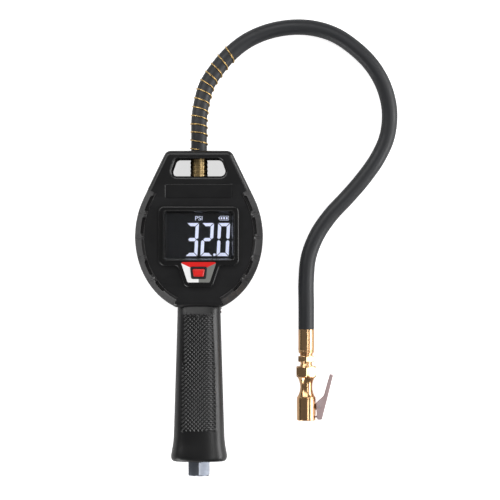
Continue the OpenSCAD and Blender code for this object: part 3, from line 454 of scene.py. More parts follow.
def hair_scratches(tree, entry):
    """Thin scratches in two directions over slow changes of tone."""
    place = own_place(tree)
    one = vector_maths(tree, "MULTIPLY", place, (1.0, 0.03, 0.6))
    two = vector_maths(tree, "MULTIPLY", place, (0.05, 1.0, 0.6))
    both = times(tree, noise(tree, one, entry.outputs["Grain"], 2.0, 0.7),
                 noise(tree, two, entry.outputs["Grain"], 2.0, 0.7))
    return both, noise(tree, place, entry.outputs["Blotch"], 5.0, 0.65)


def wrapped_rubber(tree, entry):
    """Cloth-wrap marks on a hose: fine ribs along it, crossed by a slow spiral."""
    uv = put(tree, "ShaderNodeUVMap", {"uv_map": "route"}).outputs[0]
    parts = put(tree, "ShaderNodeSeparateXYZ", None, {0: uv})
    spiral = maths(tree, "ADD", times(tree, parts.outputs[1], entry.outputs["Grain"]),
                   parts.outputs[0])
    wave = maths(tree, "ABSOLUTE", maths(tree, "SINE", times(tree, spiral, 2 * math.pi)))
    place = own_place(tree)
    speckle = noise(tree, place, 4000.0, 3.0, 0.6)
    height = maths(tree, "ADD", times(tree, wave, 0.35), times(tree, speckle, 0.65))
    return height, noise(tree, place, entry.outputs["Blotch"], 5.0, 0.6)


GRAIN_INPUTS = (("Grain", 1500.0), ("Blotch", 60.0))
PATTERNS = {
    "moulded": surface_group("Moulded Grain", GRAIN_INPUTS, moulded_grain),
    "turned": surface_group("Turned Lines", GRAIN_INPUTS, turned_lines),
    "scratched": surface_group("Hair Scratches", GRAIN_INPUTS, hair_scratches),
    "wrapped": surface_group("Wrapped Rubber", GRAIN_INPUTS, wrapped_rubber),
}


def rubbed_edges():
    """A group that marks convex edges, broken up by noise."""
    tree = bpy.data.node_groups.new("Rubbed Edges", "ShaderNodeTree")
    tree.interface.new_socket("Amount", in_out="INPUT", socket_type="NodeSocketFloat")
    tree.interface.new_socket("Mask", in_out="OUTPUT", socket_type="NodeSocketFloat")
    entry = tree.nodes.new("NodeGroupInput")
    leave = tree.nodes.new("NodeGroupOutput")
    point = tree.nodes.new("ShaderNodeNewGeometry").outputs["Pointiness"]
    edge = times(tree, maths(tree, "SUBTRACT", point, 0.51), 9.0, clamp=True)
    place = own_place(tree)
    broken = times(tree, edge, noise(tree, place, 260.0, 4.0, 0.7))
    tree.links.new(times(tree, broken, entry.outputs["Amount"], clamp=True), leave.inputs["Mask"])
    return tree


EDGE_GROUP = rubbed_edges()


def blend_colours(tree, factor, a, b):
    node = put(tree, "ShaderNodeMix", {"data_type": "RGBA"}, {0: factor})
    for index, value in ((6, a), (7, b)):
        if isinstance(value, bpy.types.NodeSocket):
            tree.links.new(value, node.inputs[index])
        else:
            node.inputs[index].default_value = (*value, 1.0)
    return node.outputs[2]


def finish(name, colour, shade, roughness, pattern="moulded", grain=1500.0, blotch=60.0, depth=0.01,
           rubbed=0.0, rubbed_colour=(0.3, 0.3, 0.3), **constants):
    """A procedural finish: two tones, a roughness range, a relief in millimetres and rubbed edges."""
    material = bpy.data.materials.new(name)
    material.use_nodes = True
    tree = material.node_tree
    shader = tree.nodes["Principled BSDF"]
    look = put(tree, "ShaderNodeGroup", {"node_tree": PATTERNS[pattern]}, {"Grain": grain, "Blotch": blotch})
    tone = put(tree, "ShaderNodeMapRange", None, {0: look.outputs["Tone"], 1: 0.3, 2: 0.7}).outputs[0]
    paint = blend_colours(tree, tone, colour, shade)
    if rubbed:
        edge = put(tree, "ShaderNodeGroup", {"node_tree": EDGE_GROUP}, {"Amount": rubbed})
        paint = blend_colours(tree, edge.outputs["Mask"], paint, rubbed_colour)
    tree.links.new(paint, shader.inputs["Base Color"])
    gloss = put(tree, "ShaderNodeMapRange", None,
                {0: look.outputs["Tone"], 1: 0.25, 2: 0.75, 3: roughness[0], 4: roughness[1]}).outputs[0]
    tree.links.new(gloss, shader.inputs["Roughness"])
    bump = put(tree, "ShaderNodeBump", None,
               {"Height": look.outputs["Height"], "Distance": depth * MM, "Strength": 1.0})
    tree.links.new(bump.outputs[0], shader.inputs["Normal"])
    for label, value in constants.items():
        shader.inputs[label.replace("_", " ")].default_value = value
    return material


def glowing(name, colour, strength):
    """A lit liquid-crystal mark, a little uneven."""
    material = finish(name, (0.5, 0.5, 0.5), (0.6, 0.6, 0.62), (0.3, 0.4), depth=0.001)
    tree = material.node_tree
    shader = tree.nodes["Principled BSDF"]
    place = own_place(tree)
    cloud = noise(tree, place, 90.0, 2.0, 0.5)
    tree.links.new(blend_colours(tree, cloud, colour, dim(colour, 0.9)),
                   shader.inputs["Emission Color"])
    shader.inputs["Emission Strength"].default_value = strength
    return material


def clear_glass(name):
    material = bpy.data.materials.new(name)
    material.use_nodes = True
    tree = material.node_tree
    shader = tree.nodes["Principled BSDF"]
    look = put(tree, "ShaderNodeGroup", {"node_tree": PATTERNS["scratched"]},
               {"Grain": 900.0, "Blotch": 40.0})
    haze = put(tree, "ShaderNodeMapRange", None, {0: look.outputs["Tone"], 3: 0.0, 4: 0.03}).outputs[0]
    tree.links.new(haze, shader.inputs["Roughness"])
    shader.inputs["Base Color"].default_value = (0.82, 0.84, 0.88, 1.0)
    shader.inputs["Transmission Weight"].default_value = 1.0
    shader.inputs["IOR"].default_value = 1.46
    return material


def rgb(colour):
    """A display colour as the shader's linear one."""
    return tuple(c / 12.92 if c <= 0.04045 else ((c + 0.055) / 1.055) ** 2.4 for c in colour)


def dim(tone, share):
    """A tone made darker, or lighter where share is above 1."""
    return tuple(c * share for c in tone)


def metal(name, colour, shade, roughness, pattern="scratched", grain=900.0, depth=0.003, **extra):
    return finish(name, colour, shade, roughness, pattern, grain=grain, depth=depth, Metallic=1.0, **extra)


# ---------- settings that a user would change ----------

def length(label, text, default, low=0.0, high=1.0):
    return bpy.props.FloatProperty(name=label, description=text, default=default, min=low, max=high,
                                   subtype="DISTANCE", unit="LENGTH")


def colour(label, text, default):
    return bpy.props.FloatVectorProperty(name=label, description=text, default=default, min=0.0, max=1.0,
                                         size=3, subtype="COLOR_GAMMA")


class HeadSettings(bpy.types.PropertyGroup):
    face_round: length("Face Rounding", "Width of the rounding round the head's face", 0.0038, 0.001, 0.005)
    loop_round: length("Loop Rounding", "Width of the rounding round the hanging loop's opening",
                       0.0027, 0.001, 0.004)
    shell_colour: colour("Shell", "Colour of the moulded head", (0.07, 0.07, 0.074))
    boot_colour: colour("Boot", "Colour of the rubber bumper", (0.115, 0.11, 0.113))
    trim_colour: colour("Bezel", "Colour of the bezel", (0.07, 0.07, 0.072))
    button_colour: colour("Button", "Colour of the mode button", (0.88, 0.13, 0.12))


class DisplaySettings(bpy.types.PropertyGroup):
    reading: bpy.props.StringProperty(name="Reading", description="Pressure shown, as digits and one dot",
                                      default="32.0")
    digit_height: length("Digit Height", "Height of the large digits", 0.0266, 0.01, 0.03)
    stroke: length("Stroke", "Width of a digit's bars", 0.0026, 0.001, 0.004)
    digit_colour: colour("Digits", "Colour of the lit digits", (0.875, 0.895, 0.985))
    glow: bpy.props.FloatProperty(name="Glow", description="Brightness of the lit digits", default=1.0,
                                  min=0.0, max=5.0)


class HandleSettings(bpy.types.PropertyGroup):
    knurl_across: length("Knurl Across", "Pitch of the diamonds across the handle", 0.0032, 0.002, 0.006)
    knurl_along: length("Knurl Along", "Pitch of the diamonds along the handle", 0.0033, 0.002, 0.006)
    knurl_height: length("Knurl Height", "Height of a diamond", 0.00045, 0.0003, 0.0015)
    handle_colour: colour("Handle", "Colour of the handle's mouldings", (0.05, 0.05, 0.055))
    grip_colour: colour("Grip", "Colour of the knurled panel", (0.04, 0.04, 0.045))


class HoseSettings(bpy.types.PropertyGroup):
    hose_diameter: length("Hose Diameter", "Outer diameter of the hose", 0.0128, 0.008, 0.016)
    guard_wire: length("Guard Wire", "Diameter of the spring guard's wire", 0.001, 0.0006, 0.0016)
    guard_turns: bpy.props.FloatProperty(name="Guard Turns", description="Turns of the spring guard",
                                         default=12.5, min=4.0, max=20.0)
    hose_colour: colour("Hose", "Colour of the rubber", (0.10, 0.107, 0.122))
    guard_colour: colour("Guard", "Colour of the guard's wire", (0.86, 0.72, 0.47))


class FittingSettings(bpy.types.PropertyGroup):
    brass_colour: colour("Chuck Brass", "Colour of the chuck and its fittings", (0.90, 0.72, 0.53))
    ferrule_colour: colour("Ferrule Brass", "Colour of the ferrule in the loop", (0.78, 0.67, 0.47))
    clip_colour: colour("Clip Nickel", "Colour of the clip lever", (0.86, 0.76, 0.76))
    inlet_colour: colour("Inlet Metal", "Colour of the air inlet", (0.43, 0.45, 0.49))


class StageSettings(bpy.types.PropertyGroup):
    camera_height: length("Camera Height", "Height of the camera over the floor", 2.0, 0.3, 4.0)
    lens: bpy.props.FloatProperty(name="Lens", description="Focal length in millimetres", default=176.0,
                                  min=20.0, max=400.0)
    floor_colour: colour("Floor", "Colour of the floor", (0.97, 0.97, 0.97))
    light: bpy.props.FloatProperty(name="Light", description="Strength of all the studio lights",
                                   default=1.0, min=0.1, max=5.0)


SETTINGS = {
    "inflator_head": HeadSettings,
    "inflator_display": DisplaySettings,
    "inflator_handle": HandleSettings,
    "inflator_hose": HoseSettings,
    "inflator_fittings": FittingSettings,
    "inflator_stage": StageSettings,
}


# ---------- stage ----------

class INFLATOR_OT_stage(bpy.types.Operator):
    """Camera straight above the inflator, pale floor and soft studio lights"""
    bl_idname = "inflator.stage"
    bl_label = "Stage"

    VIEW_CENTRE = (0.0412, 0.0512)
    FLOOR_HALF = 3.0
    PAPER_GLOW = 0.7
    ROOM_LIGHT = 0.14
    SEEN_ROOM = 0.95
    AIM = Vector((0.03, 0.03, 0.0))
    LIGHTS = (
        # name, place, size across and along, radiance
        ("upper_panel", (-0.15, 1.15, 1.25), (1.5, 0.7), 2.8),
        ("strip", (0.52, -0.05, 1.05), (1.2, 0.12), 6.0),
        ("right_panel", (1.15, 0.1, 0.42), (1.5, 0.55), 6.0),
        ("low_left_panel", (-0.75, -0.95, 0.33), (1.0, 0.5), 7.5),
        ("left_panel", (-0.9, 0.8, 0.8), (1.0, 0.45), 4.0),
    )

    def execute(self, context):
        scene = context.scene
        values = scene.inflator_stage
        camera = bpy.data.cameras.new("camera")
        camera.lens = values.lens
        camera.sensor_width = 36.0
        holder = link("camera", camera)
        holder.location = (*self.VIEW_CENTRE, values.camera_height)
        scene.camera = holder
        scene.view_settings.view_transform = "Standard"

        half = self.FLOOR_HALF
        mesh = bpy.data.meshes.new("floor")
        mesh.from_pydata([(-half, -half, 0), (half, -half, 0), (half, half, 0), (-half, half, 0)], [],
                         [(0, 1, 2, 3)])
        mesh.materials.append(self.paper(values))
        link("floor", mesh)

        for name, place, (across, along), radiance in self.LIGHTS:
            light = bpy.data.lights.new(name, "AREA")
            light.shape = "RECTANGLE"
            light.size = across
            light.size_y = along
            light.energy = radiance * values.light * math.pi * across * along
            lamp = link(name, light)
            lamp.location = place
            lamp.rotation_euler = (self.AIM - Vector(place)).to_track_quat("-Z", "Y").to_euler()

        self.studio_world(scene, values)
        return {"FINISHED"}

    def paper(self, values):
        """Pale paper, lit from below where the camera sees it so that it stays even."""
        tone = rgb(values.floor_colour)
        material = finish("floor_paper", tone, tone, (0.8, 0.9), grain=300.0, depth=0.002)
        tree = material.node_tree
        shader = tree.nodes["Principled BSDF"]
        shader.inputs["Emission Color"].default_value = (1.0, 1.0, 1.0, 1.0)
        seen = tree.nodes.new("ShaderNodeLightPath").outputs["Is Camera Ray"]
        tree.links.new(times(tree, seen, self.PAPER_GLOW), shader.inputs["Emission Strength"])
        return material

    def studio_world(self, scene, values):
        """Even white surroundings, dim in reflections and bright where the camera sees them."""
        world = bpy.data.worlds.new("studio")
        world.use_nodes = True
        tree = world.node_tree
        back = tree.nodes["Background"]
        camera_ray = tree.nodes.new("ShaderNodeLightPath").outputs["Is Camera Ray"]
        shown = put(tree, "ShaderNodeMapRange", None, {
            0: camera_ray, 3: self.ROOM_LIGHT * values.light, 4: self.SEEN_ROOM}).outputs[0]
        tree.links.new(shown, back.inputs["Strength"])
        back.inputs["Color"].default_value = (1.0, 1.0, 1.0, 1.0)
        scene.world = world


# ---------- hose ----------

HOSE_EXIT = np.array((0.0, Y_TOP - 0.5, AIR_Z))
ROUTE = np.array([
    (0, 0, 0), (0, 13, -0.5), (0, 26, -2.5), (2, 40, -5), (6, 54, -8), (14, 67, -10.5),
    (25, 80, -12.5), (39, 91, -14), (56, 98.5, -15), (75, 102, -15.4), (94, 101, -15.5),
    (112, 95, -15.5), (129, 83, -15.5), (142, 69, -15.5), (151, 52, -15.5), (155, 33, -15.5),
    (153, 13, -15.5), (145, -5, -15.5), (133, -22, -15.5), (120, -37, -15.5),
    (107, -51, -15.5), (96, -67, -15.5), (89, -85, -15.3), (87, -104, -14.4),
    (87, -124, -13), (87, -144, -12.6),
])
CHUCK_AT = HOSE_EXIT + ROUTE[-1]
GUARD_FROM = 0.15
GUARD_TO = 6.2
ROUTE_STEPS = 8
UP = np.array((0.0, 0.0, 1.0))


def route_point(at):
    """Catmull-Rom point on the hose's route, at a fractional index."""
    last = len(ROUTE) - 1
    i = min(int(at), last - 1)
    t = at - i
    p0, p1, p2, p3 = ROUTE[max(i - 1, 0)], ROUTE[i], ROUTE[i + 1], ROUTE[min(i + 2, last)]
    bend = 2 * p0 - 5 * p1 + 4 * p2 - p3
    return 0.5 * (2 * p1 + (p2 - p0) * t + bend * t * t + (3 * p1 - p0 - 3 * p2 + p3) * t ** 3)


def hose_path(steps):
    """The hose's centreline, straight for a millimetre at both ends."""
    middle = [HOSE_EXIT + route_point(k / steps) for k in range(1, (len(ROUTE) - 1) * steps)]
    ahead = np.array((0.0, 1.0, 0.0))
    return np.array([HOSE_EXIT, HOSE_EXIT + ahead, *middle, CHUCK_AT + ahead, CHUCK_AT])


class INFLATOR_OT_hose(bpy.types.Operator):
    """Rubber hose along its route, with the brass wire guard wound round its first stretch"""
    bl_idname = "inflator.hose"
    bl_label = "Hose and Guard"

    SIDES = 48
    RINGS_PER_TURN = 28

    def execute(self, context):
        values = context.scene.inflator_hose
        radius = values.hose_diameter / 2 / MM
        sides = self.SIDES
        path = hose_path(ROUTE_STEPS)
        skin = Skin()
        along = skin.tube(path, [UP] * len(path), radius, sides)
        rubber = finish("hose_rubber", rgb(values.hose_colour), rgb(dim(values.hose_colour, 0.8)),
                        (0.42, 0.55), "wrapped", grain=140.0, blotch=45.0, depth=0.03)
        hose = skin.build("hose_tube", [rubber], 60.0)
        self.unroll(hose.data, along, sides)
        seat(hose, "inflator", "hose_rubber", "hose")

        wire_r = values.guard_wire / 2 / MM
        rings = int(values.guard_turns * self.RINGS_PER_TURN)
        wind_r = radius + wire_r
        centre, normals = [], []
        for k in range(rings + 1):
            at = GUARD_FROM + (GUARD_TO - GUARD_FROM) * k / rings
            ahead = unit(route_point(at + 0.05) - route_point(max(at - 0.05, 0.0)))
            side = unit(np.cross(ahead, UP))
            above = np.cross(side, ahead)
            a = 2 * math.pi * values.guard_turns * k / rings
            normal = math.cos(a) * above - math.sin(a) * side
            normals.append(normal)
            centre.append(HOSE_EXIT + route_point(at) + wind_r * normal)
        coil = Skin()
        coil.tube(centre, normals, wire_r, 12)
        tone = rgb(values.guard_colour)
        wire = metal("guard_brass", tone, dim(tone, 0.7), (0.18, 0.34), grain=700.0, depth=0.004)
        seat(coil.build("hose_guard_coil", [wire], 60.0), "inflator", "guard_brass", "hose_spring_guard")
        return {"FINISHED"}

    @staticmethod
    def unroll(mesh, along, sides):
        """Gives the tube a map called route: once round it, and metres along it."""
        layer = mesh.uv_layers.new(name="route")
        for poly in mesh.polygons:
            columns = [mesh.loops[i].vertex_index % sides for i in poly.loop_indices]
            wraps = max(columns) - min(columns) > sides / 2
            for i, column in zip(poly.loop_indices, columns):
                ring = mesh.loops[i].vertex_index // sides
                u = (column + (sides if wraps and column < sides / 2 else 0)) / sides
                layer.data[i].uv = (u, along[min(ring, len(along) - 1)] * MM)


# ---------- head ----------

WINDOW = trapezium(23.0, 18.2, Y_TOP - 20.8, Y_TOP - 6.9, 4.0, 12)
LOW_SCREEN, HIGH_SCREEN = span("display_window")
SCREEN_LAP = 1.0
BEZEL_LOW, BEZEL_HIGH = span("display_bezel")
BEZEL_HALF = BEZEL_HIGH.x
BEZEL_Z = BEZEL_HIGH.z
BEZEL_Y = LOW_SCREEN.y + SCREEN_LAP - 6.2
TAB_Y = BEZEL_LOW.y
SCREEN = rectangle(HIGH_SCREEN.x - SCREEN_LAP, LOW_SCREEN.y + SCREEN_LAP, HIGH_SCREEN.y - SCREEN_LAP, 0.8)
INNER_Z = FACE_Z - WALL
CAVITY_TOP_Y = Y_TOP - 27.2
SHELL_SCREWS = ((33.0, Y_HEAD + 88.0), (29.0, Y_HEAD + 23.0))


def bezel_outline(inset, steps=8):
    """The bezel's frame with the tab below it."""
    return spread(rounded([
        (BEZEL_HALF, BEZEL_Y, 5.0), (BEZEL_HALF, BEZEL_HIGH.y, 5.0), (-BEZEL_HALF, BEZEL_HIGH.y, 5.0),
        (-BEZEL_HALF, BEZEL_Y, 5.0), (-17.0, BEZEL_Y, 2.6), (-11.1, TAB_Y, 4.5), (11.1, TAB_Y, 4.5),
        (17.0, BEZEL_Y, 2.6),
    ], steps), -inset)


def quarter(width, height, steps):
    """Steps of a quarter round, as (inset, drop) from the flat face to the wall."""
    return [(width * (1 - math.sin(a)), height * (1 - math.cos(a)))
            for a in np.linspace(0, math.pi / 2, steps + 1)]


class INFLATOR_OT_head(bpy.types.Operator):
    """Front and rear mouldings of the head, with the hanging loop, screw wells and battery bay"""
    bl_idname = "inflator.head"
    bl_label = "Head Shells"

    BACK_ROUND = 5.0

    def execute(self, context):
        values = context.scene.inflator_head
        tone = rgb(values.shell_colour)
        plastic = finish("shell_black", tone, dim(tone, 0.8), (0.26, 0.38), grain=2600.0,
                         blotch=28.0, depth=0.012, rubbed=0.5, rubbed_colour=dim(tone, 3.5))
        self.front(values, plastic)
        self.rear(plastic)
        return {"FINISHED"}

    def front(self, values, plastic):
        edge = values.face_round / MM
        lip = values.loop_round / MM
        levels = [(0.0, 3.4, AIR_Z), (0.12, 3.4, AIR_Z + 0.12), (0.12, 3.4, 29.8), (0.14, 5.5, 29.9)]
        for inset, drop in reversed(quarter(edge, 5.0, 9)):
            z = FACE_Z - drop
            under = 8.1 if z > FACE_Z - 2.2 else 5.5
            levels.append((max(inset, 0.14), under, z))
        skin = Skin()
        first, last = skin.stack([(head_outline(a, b), z) for a, b, z in levels])

        window = [(spread(WINDOW, inset), FACE_Z - drop) for inset, drop in quarter(lip, 2.6, 8)]
        window_top, window_low = skin.stack(window + [(WINDOW, AIR_Z)])
        bay_top, bay_low = skin.stack([(bezel_outline(0.5), FACE_Z), (bezel_outline(0.6), FACE_Z - 0.1),
                                       (bezel_outline(2.0), FACE_Z - 0.1), (bezel_outline(2.0), INNER_Z)])
        plate_low, plate_high = span("nameplate")
        recess = rectangle(plate_high.x + 0.1, plate_low.y - 0.1, plate_high.y + 0.1, 1.2)
        plate_top, plate_floor = skin.stack([(spread(recess, 0.25), FACE_Z), (recess, FACE_Z - 0.2),
                                             (recess, plate_low.z)])
        skin.cap(plate_floor)
        skin.cap(last, window_top, bay_top, plate_top)
        inside = clipped(head_outline(10.2), CAVITY_TOP_Y)
        cavity_low, cavity_top = skin.stack([(inside, AIR_Z), (inside, INNER_Z)])
        skin.cap(first, window_low, cavity_low)
        skin.cap(cavity_top, bay_low)
        shell = skin.build("front_shell_moulding", [plastic])
        cut(shell, self.neck_tool(), self.ferrule_tool())
        smooth(shell.data, 35.0)
        seat(soften(shell), "inflator", "shell_black", "front_shell")

    def rear(self, plastic):
        levels = [(inset, inset, z) for inset, z in quarter(self.BACK_ROUND, self.BACK_ROUND, 9)]
        levels += [(0.0, 3.4, 5.02), (0.0, 3.4, AIR_Z - 0.12), (0.12, 3.4, AIR_Z)]
        skin = Skin()
        first, last = skin.stack([(head_outline(a, b), z) for a, b, z in levels])
        window = [(spread(WINDOW, inset), drop) for inset, drop in quarter(1.6, 1.6, 5)]
        window_low, window_top = skin.stack(window + [(WINDOW, AIR_Z)])
        inside = clipped(head_outline(5.8), CAVITY_TOP_Y)
        cavity_top, cavity_floor = skin.stack([(inside, AIR_Z), (inside, 3.0)])
        cover_low, cover_high = span("battery_cover")
        bay = rectangle(cover_high.x + 0.12, cover_low.y - 0.12, cover_high.y + 0.12, 1.0)
        bay_low, bay_floor = skin.stack([(bay, 0.0), (bay, cover_high.z + 0.05)])
        skin.cap(bay_floor)
        holes = [bay_low]
        for x, y in both_sides(SHELL_SCREWS):
            mouth, floor = skin.stack([(circle(x, y, 3.35), 0.0), (circle(x, y, 3.1), 0.25),
                                       (circle(x, y, 3.1), 2.6)])
            skin.cap(floor)
            holes.append(mouth)
        skin.cap(first, window_low, *holes)
        skin.cap(last, window_top, cavity_top)
        skin.cap(cavity_floor)
        shell = skin.build("rear_shell_moulding", [plastic])
        cut(shell, self.neck_tool(), self.ferrule_tool())
        smooth(shell.data, 35.0)
        seat(soften(shell), "inflator", "shell_black", "rear_shell")

    @staticmethod
    def ferrule_tool():
        radius = span("hose_ferrule_gauge")[1].x + 0.12
        skin = Skin()
        skin.bar(along_y(0.0, AIR_Z), [(CAVITY_TOP_Y - 1, radius), (Y_TOP + 2, radius)])
        return skin.build("ferrule_tool", [])

    @staticmethod
    def neck_tool():
        skin = Skin()
        room = 0.1
        half, back, front = station_at(HANDLE_LEN + NECK_LEN)
        rings = [skin.ring(section_ring(y, half + room, back + room, front + room))
                 for y in (Y_HEAD - 3, Y_HEAD + NECK_LEN + room)]
        skin.bridge(*rings)
        skin.face(rings[0])
        skin.face(rings[1])
        return skin.build("neck_tool", [])


class INFLATOR_OT_boot(bpy.types.Operator):
    """Rubber bumper round both sides of the head, with bevelled tread blocks and pockets"""
    bl_idname = "inflator.boot"
    bl_label = "Bumper Boot"

    # Sections through the boot, as (inset from the head's outline, height)
    FOOT = ((1.0, 5.0), (0.3, 5.15), (0.0, 5.7), (0.0, 26.0), (0.1, 27.6), (0.5, 28.8), (1.1, 29.9))
    LIP = ((4.8, 35.4), (5.1, 35.9), (5.4, 36.4), (5.7, 36.8), (6.0, 36.95), (6.5, 36.98), (6.9, 36.98),
           (7.2, 36.98), (7.5, 36.95), (7.8, 36.8), (8.0, 36.4))
    POCKET = ((4.5, 35.3), (4.8, 35.6), (5.0, 35.5), (5.1, 34.5), (5.4, 34.1), (6.2, 34.0), (6.8, 34.1),
              (7.0, 34.5), (7.1, 36.2), (7.5, 36.9), (8.0, 36.4))
    NOTCH = ((5.2, 35.0), (5.5, 35.3), (5.8, 35.6), (6.1, 35.9), (6.4, 36.2), (6.8, 36.5), (7.0, 36.7),
             (7.3, 36.8), (7.6, 36.8), (7.8, 36.7), (8.0, 36.4))
    UNDER = ((8.0, 34.4), (5.4, 34.4), (5.4, 30.0), (3.3, 30.0), (3.3, 5.0))
    POCKETS = ((14.0, 22.5), (28.0, 41.0), (64.0, 79.0), (84.0, 97.5))
    NOTCHES = (25.2, 44.5, 61.0, 81.5)
    NOTCH_HALF = 1.3

    @staticmethod
    def ramp(value, low, high, blend):
        rise = min(max((value - low) / blend, 0.0), 1.0) * min(max((high - value) / blend, 0.0), 1.0)
        return rise * rise * (3 - 2 * rise)

    def section(self, y):
        pocket = max(self.ramp(y, low, high, 0.9) for low, high in self.POCKETS)
        notch = max(self.ramp(y, at - self.NOTCH_HALF, at + self.NOTCH_HALF, 0.5) for at in self.NOTCHES)
        lip = np.array(self.LIP)
        lip = lip + pocket * (np.array(self.POCKET) - lip) + notch * (np.array(self.NOTCH) - lip)
        foot = np.array(self.FOOT)
        foot[-1] += notch * np.array((0.7, -0.4))
        foot[-2] += notch * np.array((0.5, -0.2))
        return np.concatenate((foot, lip, np.array(self.UNDER)))

    def execute(self, context):
        values = context.scene.inflator_head
        tone = rgb(values.boot_colour)
        rubber = finish("boot_rubber", tone, dim(tone, 0.75), (0.28, 0.42), grain=1800.0,
                        blotch=40.0, depth=0.02, rubbed=0.6, rubbed_colour=dim(tone, 3.0))
        rows = self.fine_rows()
        skin = Skin()
        for side in (1, -1):
            rings = [skin.ring([(side * (p[0] - n[0] * inset), p[1] - n[1] * inset, z)
                                for inset, z in self.section(p[1])]) for p, n in rows]
            for a, b in zip(rings, rings[1:]):
                skin.bridge(a, b)
            skin.cap(rings[0])
            skin.cap(rings[-1])
        boot = skin.build("bumper_boot_rubber", [rubber], 28.0)
        seat(soften(boot), "inflator", "boot_rubber", "bumper_boot")
        return {"FINISHED"}

    @staticmethod
    def fine_rows():
        """The covered stretch of the head's side, sampled about every 0.4 mm."""
        covered = [(p, n) for p, n, under in HEAD_SIDE if under]
        rows = []
        for (p, n), (q, m) in zip(covered, covered[1:]):
            steps = max(1, round(np.linalg.norm(q - p) / 0.4))
            rows += [(p + (q - p) * k / steps, unit(n + (m - n) * k / steps)) for k in range(steps)]
        rows.append(covered[-1])
        return rows


class INFLATOR_OT_display(bpy.types.Operator):
    """Raised bezel, protective window, lit digits, unit mark and charge mark"""
    bl_idname = "inflator.display"
    bl_label = "Display"

    LIT = {"0": "abcdef", "1": "bc", "2": "abdeg", "3": "abcdg", "4": "bcfg", "5": "acdfg",
           "6": "acdefg", "7": "abc", "8": "abcdefg", "9": "abcdfg"}
    SLANT = 0.05
    DIGIT_WIDTH = 9.7
    DIGIT_PITCH = 12.1
    DOT_ROOM = 0.9
    BAR_GAP = 0.4
    LIFT_LOW = 0.01
    LIFT_HIGH = 0.12

    def execute(self, context):
        head = context.scene.inflator_head
        values = context.scene.inflator_display
        tone = rgb(head.trim_colour)
        trim = finish("trim_black", tone, dim(tone, 0.7), (0.17, 0.28), grain=3000.0,
                      depth=0.006, rubbed=0.4, rubbed_colour=dim(tone, 4))
        self.bezel(trim)
        self.window()
        self.plate()
        light = glowing("lcd_light", rgb(values.digit_colour), values.glow)
        self.digits(values, light)
        self.marks(light)
        return {"FINISHED"}

    def bezel(self, trim):
        skin = Skin()
        outer = [(0.35, FACE_Z + 0.02), (0.0, FACE_Z + 0.35), (0.0, BEZEL_Z - 1.5), (0.2, BEZEL_Z - 1.0),
                 (0.6, BEZEL_Z - 0.65), (1.1, BEZEL_Z - 0.5)]
        first, last = skin.stack([(bezel_outline(inset), z) for inset, z in outer])
        inner = [(2.55, BEZEL_Z - 0.5), (2.45, BEZEL_Z - 0.12), (2.25, BEZEL_Z), (1.75, BEZEL_Z),
                 (1.45, BEZEL_Z - 0.15), (0.25, HIGH_SCREEN.z + 0.5), (0.0, HIGH_SCREEN.z + 0.2),
                 (0.0, HIGH_SCREEN.z + 0.02), (0.9, HIGH_SCREEN.z + 0.02), (0.9, HIGH_SCREEN.z - 1.6)]
        rim_top, rim_low = skin.stack([(spread(SCREEN, grow), z) for grow, z in inner])
        label_low, label_high = span("button_label")
        label = trapezium(9.0, 14.4, label_low.y - 0.1, label_high.y + 0.1, 1.3)
        label_top, label_floor = skin.stack([(spread(label, 0.15), BEZEL_Z - 0.5), (label, BEZEL_Z - 0.6),
                                             (label, label_low.z)])
        well_top, well_floor = skin.stack([(BUTTON_WELL, label_low.z), (BUTTON_WELL, BEZEL_Z - 4.5)])
        skin.cap(label_floor, well_top)
        skin.cap(well_floor)
        skin.cap(last, rim_top, label_top)
        spigot_top, spigot_low = skin.stack([(bezel_outline(2.15), FACE_Z + 0.02),
                                             (bezel_outline(2.15), HIGH_SCREEN.z - 1.6)])
        skin.cap(first, spigot_top)
        skin.cap(spigot_low, rim_low)
        bezel = skin.build("display_bezel_moulding", [trim])
        seat(soften(bezel), "inflator", "trim_black", "display_bezel")

    def window(self):
        low, high = LOW_SCREEN, HIGH_SCREEN
        pane = rectangle(high.x, low.y, high.y, 0.9)
        skin = Skin()
        skin.slab([(spread(pane, -0.15), low.z), (pane, low.z + 0.15), (pane, high.z - 0.15),
                   (spread(pane, -0.15), high.z)])
        glass = skin.build("display_window_pane", [clear_glass("window_glass")])
        seat(soften(glass), "inflator", "window_glass", "display_window")

    def plate(self):
        low, high = span("nameplate")
        tone = rgb((0.06, 0.06, 0.066))
        film = finish("plate_film", tone, dim(tone, 0.85), (0.28, 0.38), "scratched",
                      grain=800.0, depth=0.003)
        outline = rectangle(high.x, low.y, high.y, 1.1)
        skin = Skin()
        skin.slab([(outline, low.z), (outline, high.z - 0.2), (spread(outline, -0.08), high.z - 0.06),
                   (spread(outline, -0.25), high.z)])
        seat(soften(skin.build("nameplate_blank", [film])), "inflator", "trim_black", "nameplate")

    def bars(self, sign, width, height, stroke):
        """The bars of a seven-bar digit as outlines."""
        gap = self.BAR_GAP
        small = gap * 0.6
        w, h, s = width, height, stroke
        top = [(gap, h), (s + gap, h - s), (w - s - gap, h - s), (w - gap, h)]
        right = [(w, h - gap), (w - s, h - s - gap), (w - s, h / 2 + s / 2 + small),
                 (w - s / 2, h / 2 + gap), (w, h / 2 + s / 2)]
        middle = [(s / 2 + gap, h / 2), (s + small, h / 2 - s / 2), (w - s - small, h / 2 - s / 2),
                  (w - s / 2 - gap, h / 2), (w - s - small, h / 2 + s / 2), (s + small, h / 2 + s / 2)]
        flip_x = lambda bar: [(w - x, y) for x, y in reversed(bar)]
        flip_y = lambda bar: [(x, h - y) for x, y in reversed(bar)]
        shapes = {"a": top, "b": right, "c": flip_y(right), "d": flip_y(top), "e": flip_x(flip_y(right)),
                  "f": flip_x(right), "g": middle}
        return [shapes[letter] for letter in self.LIT[sign]]

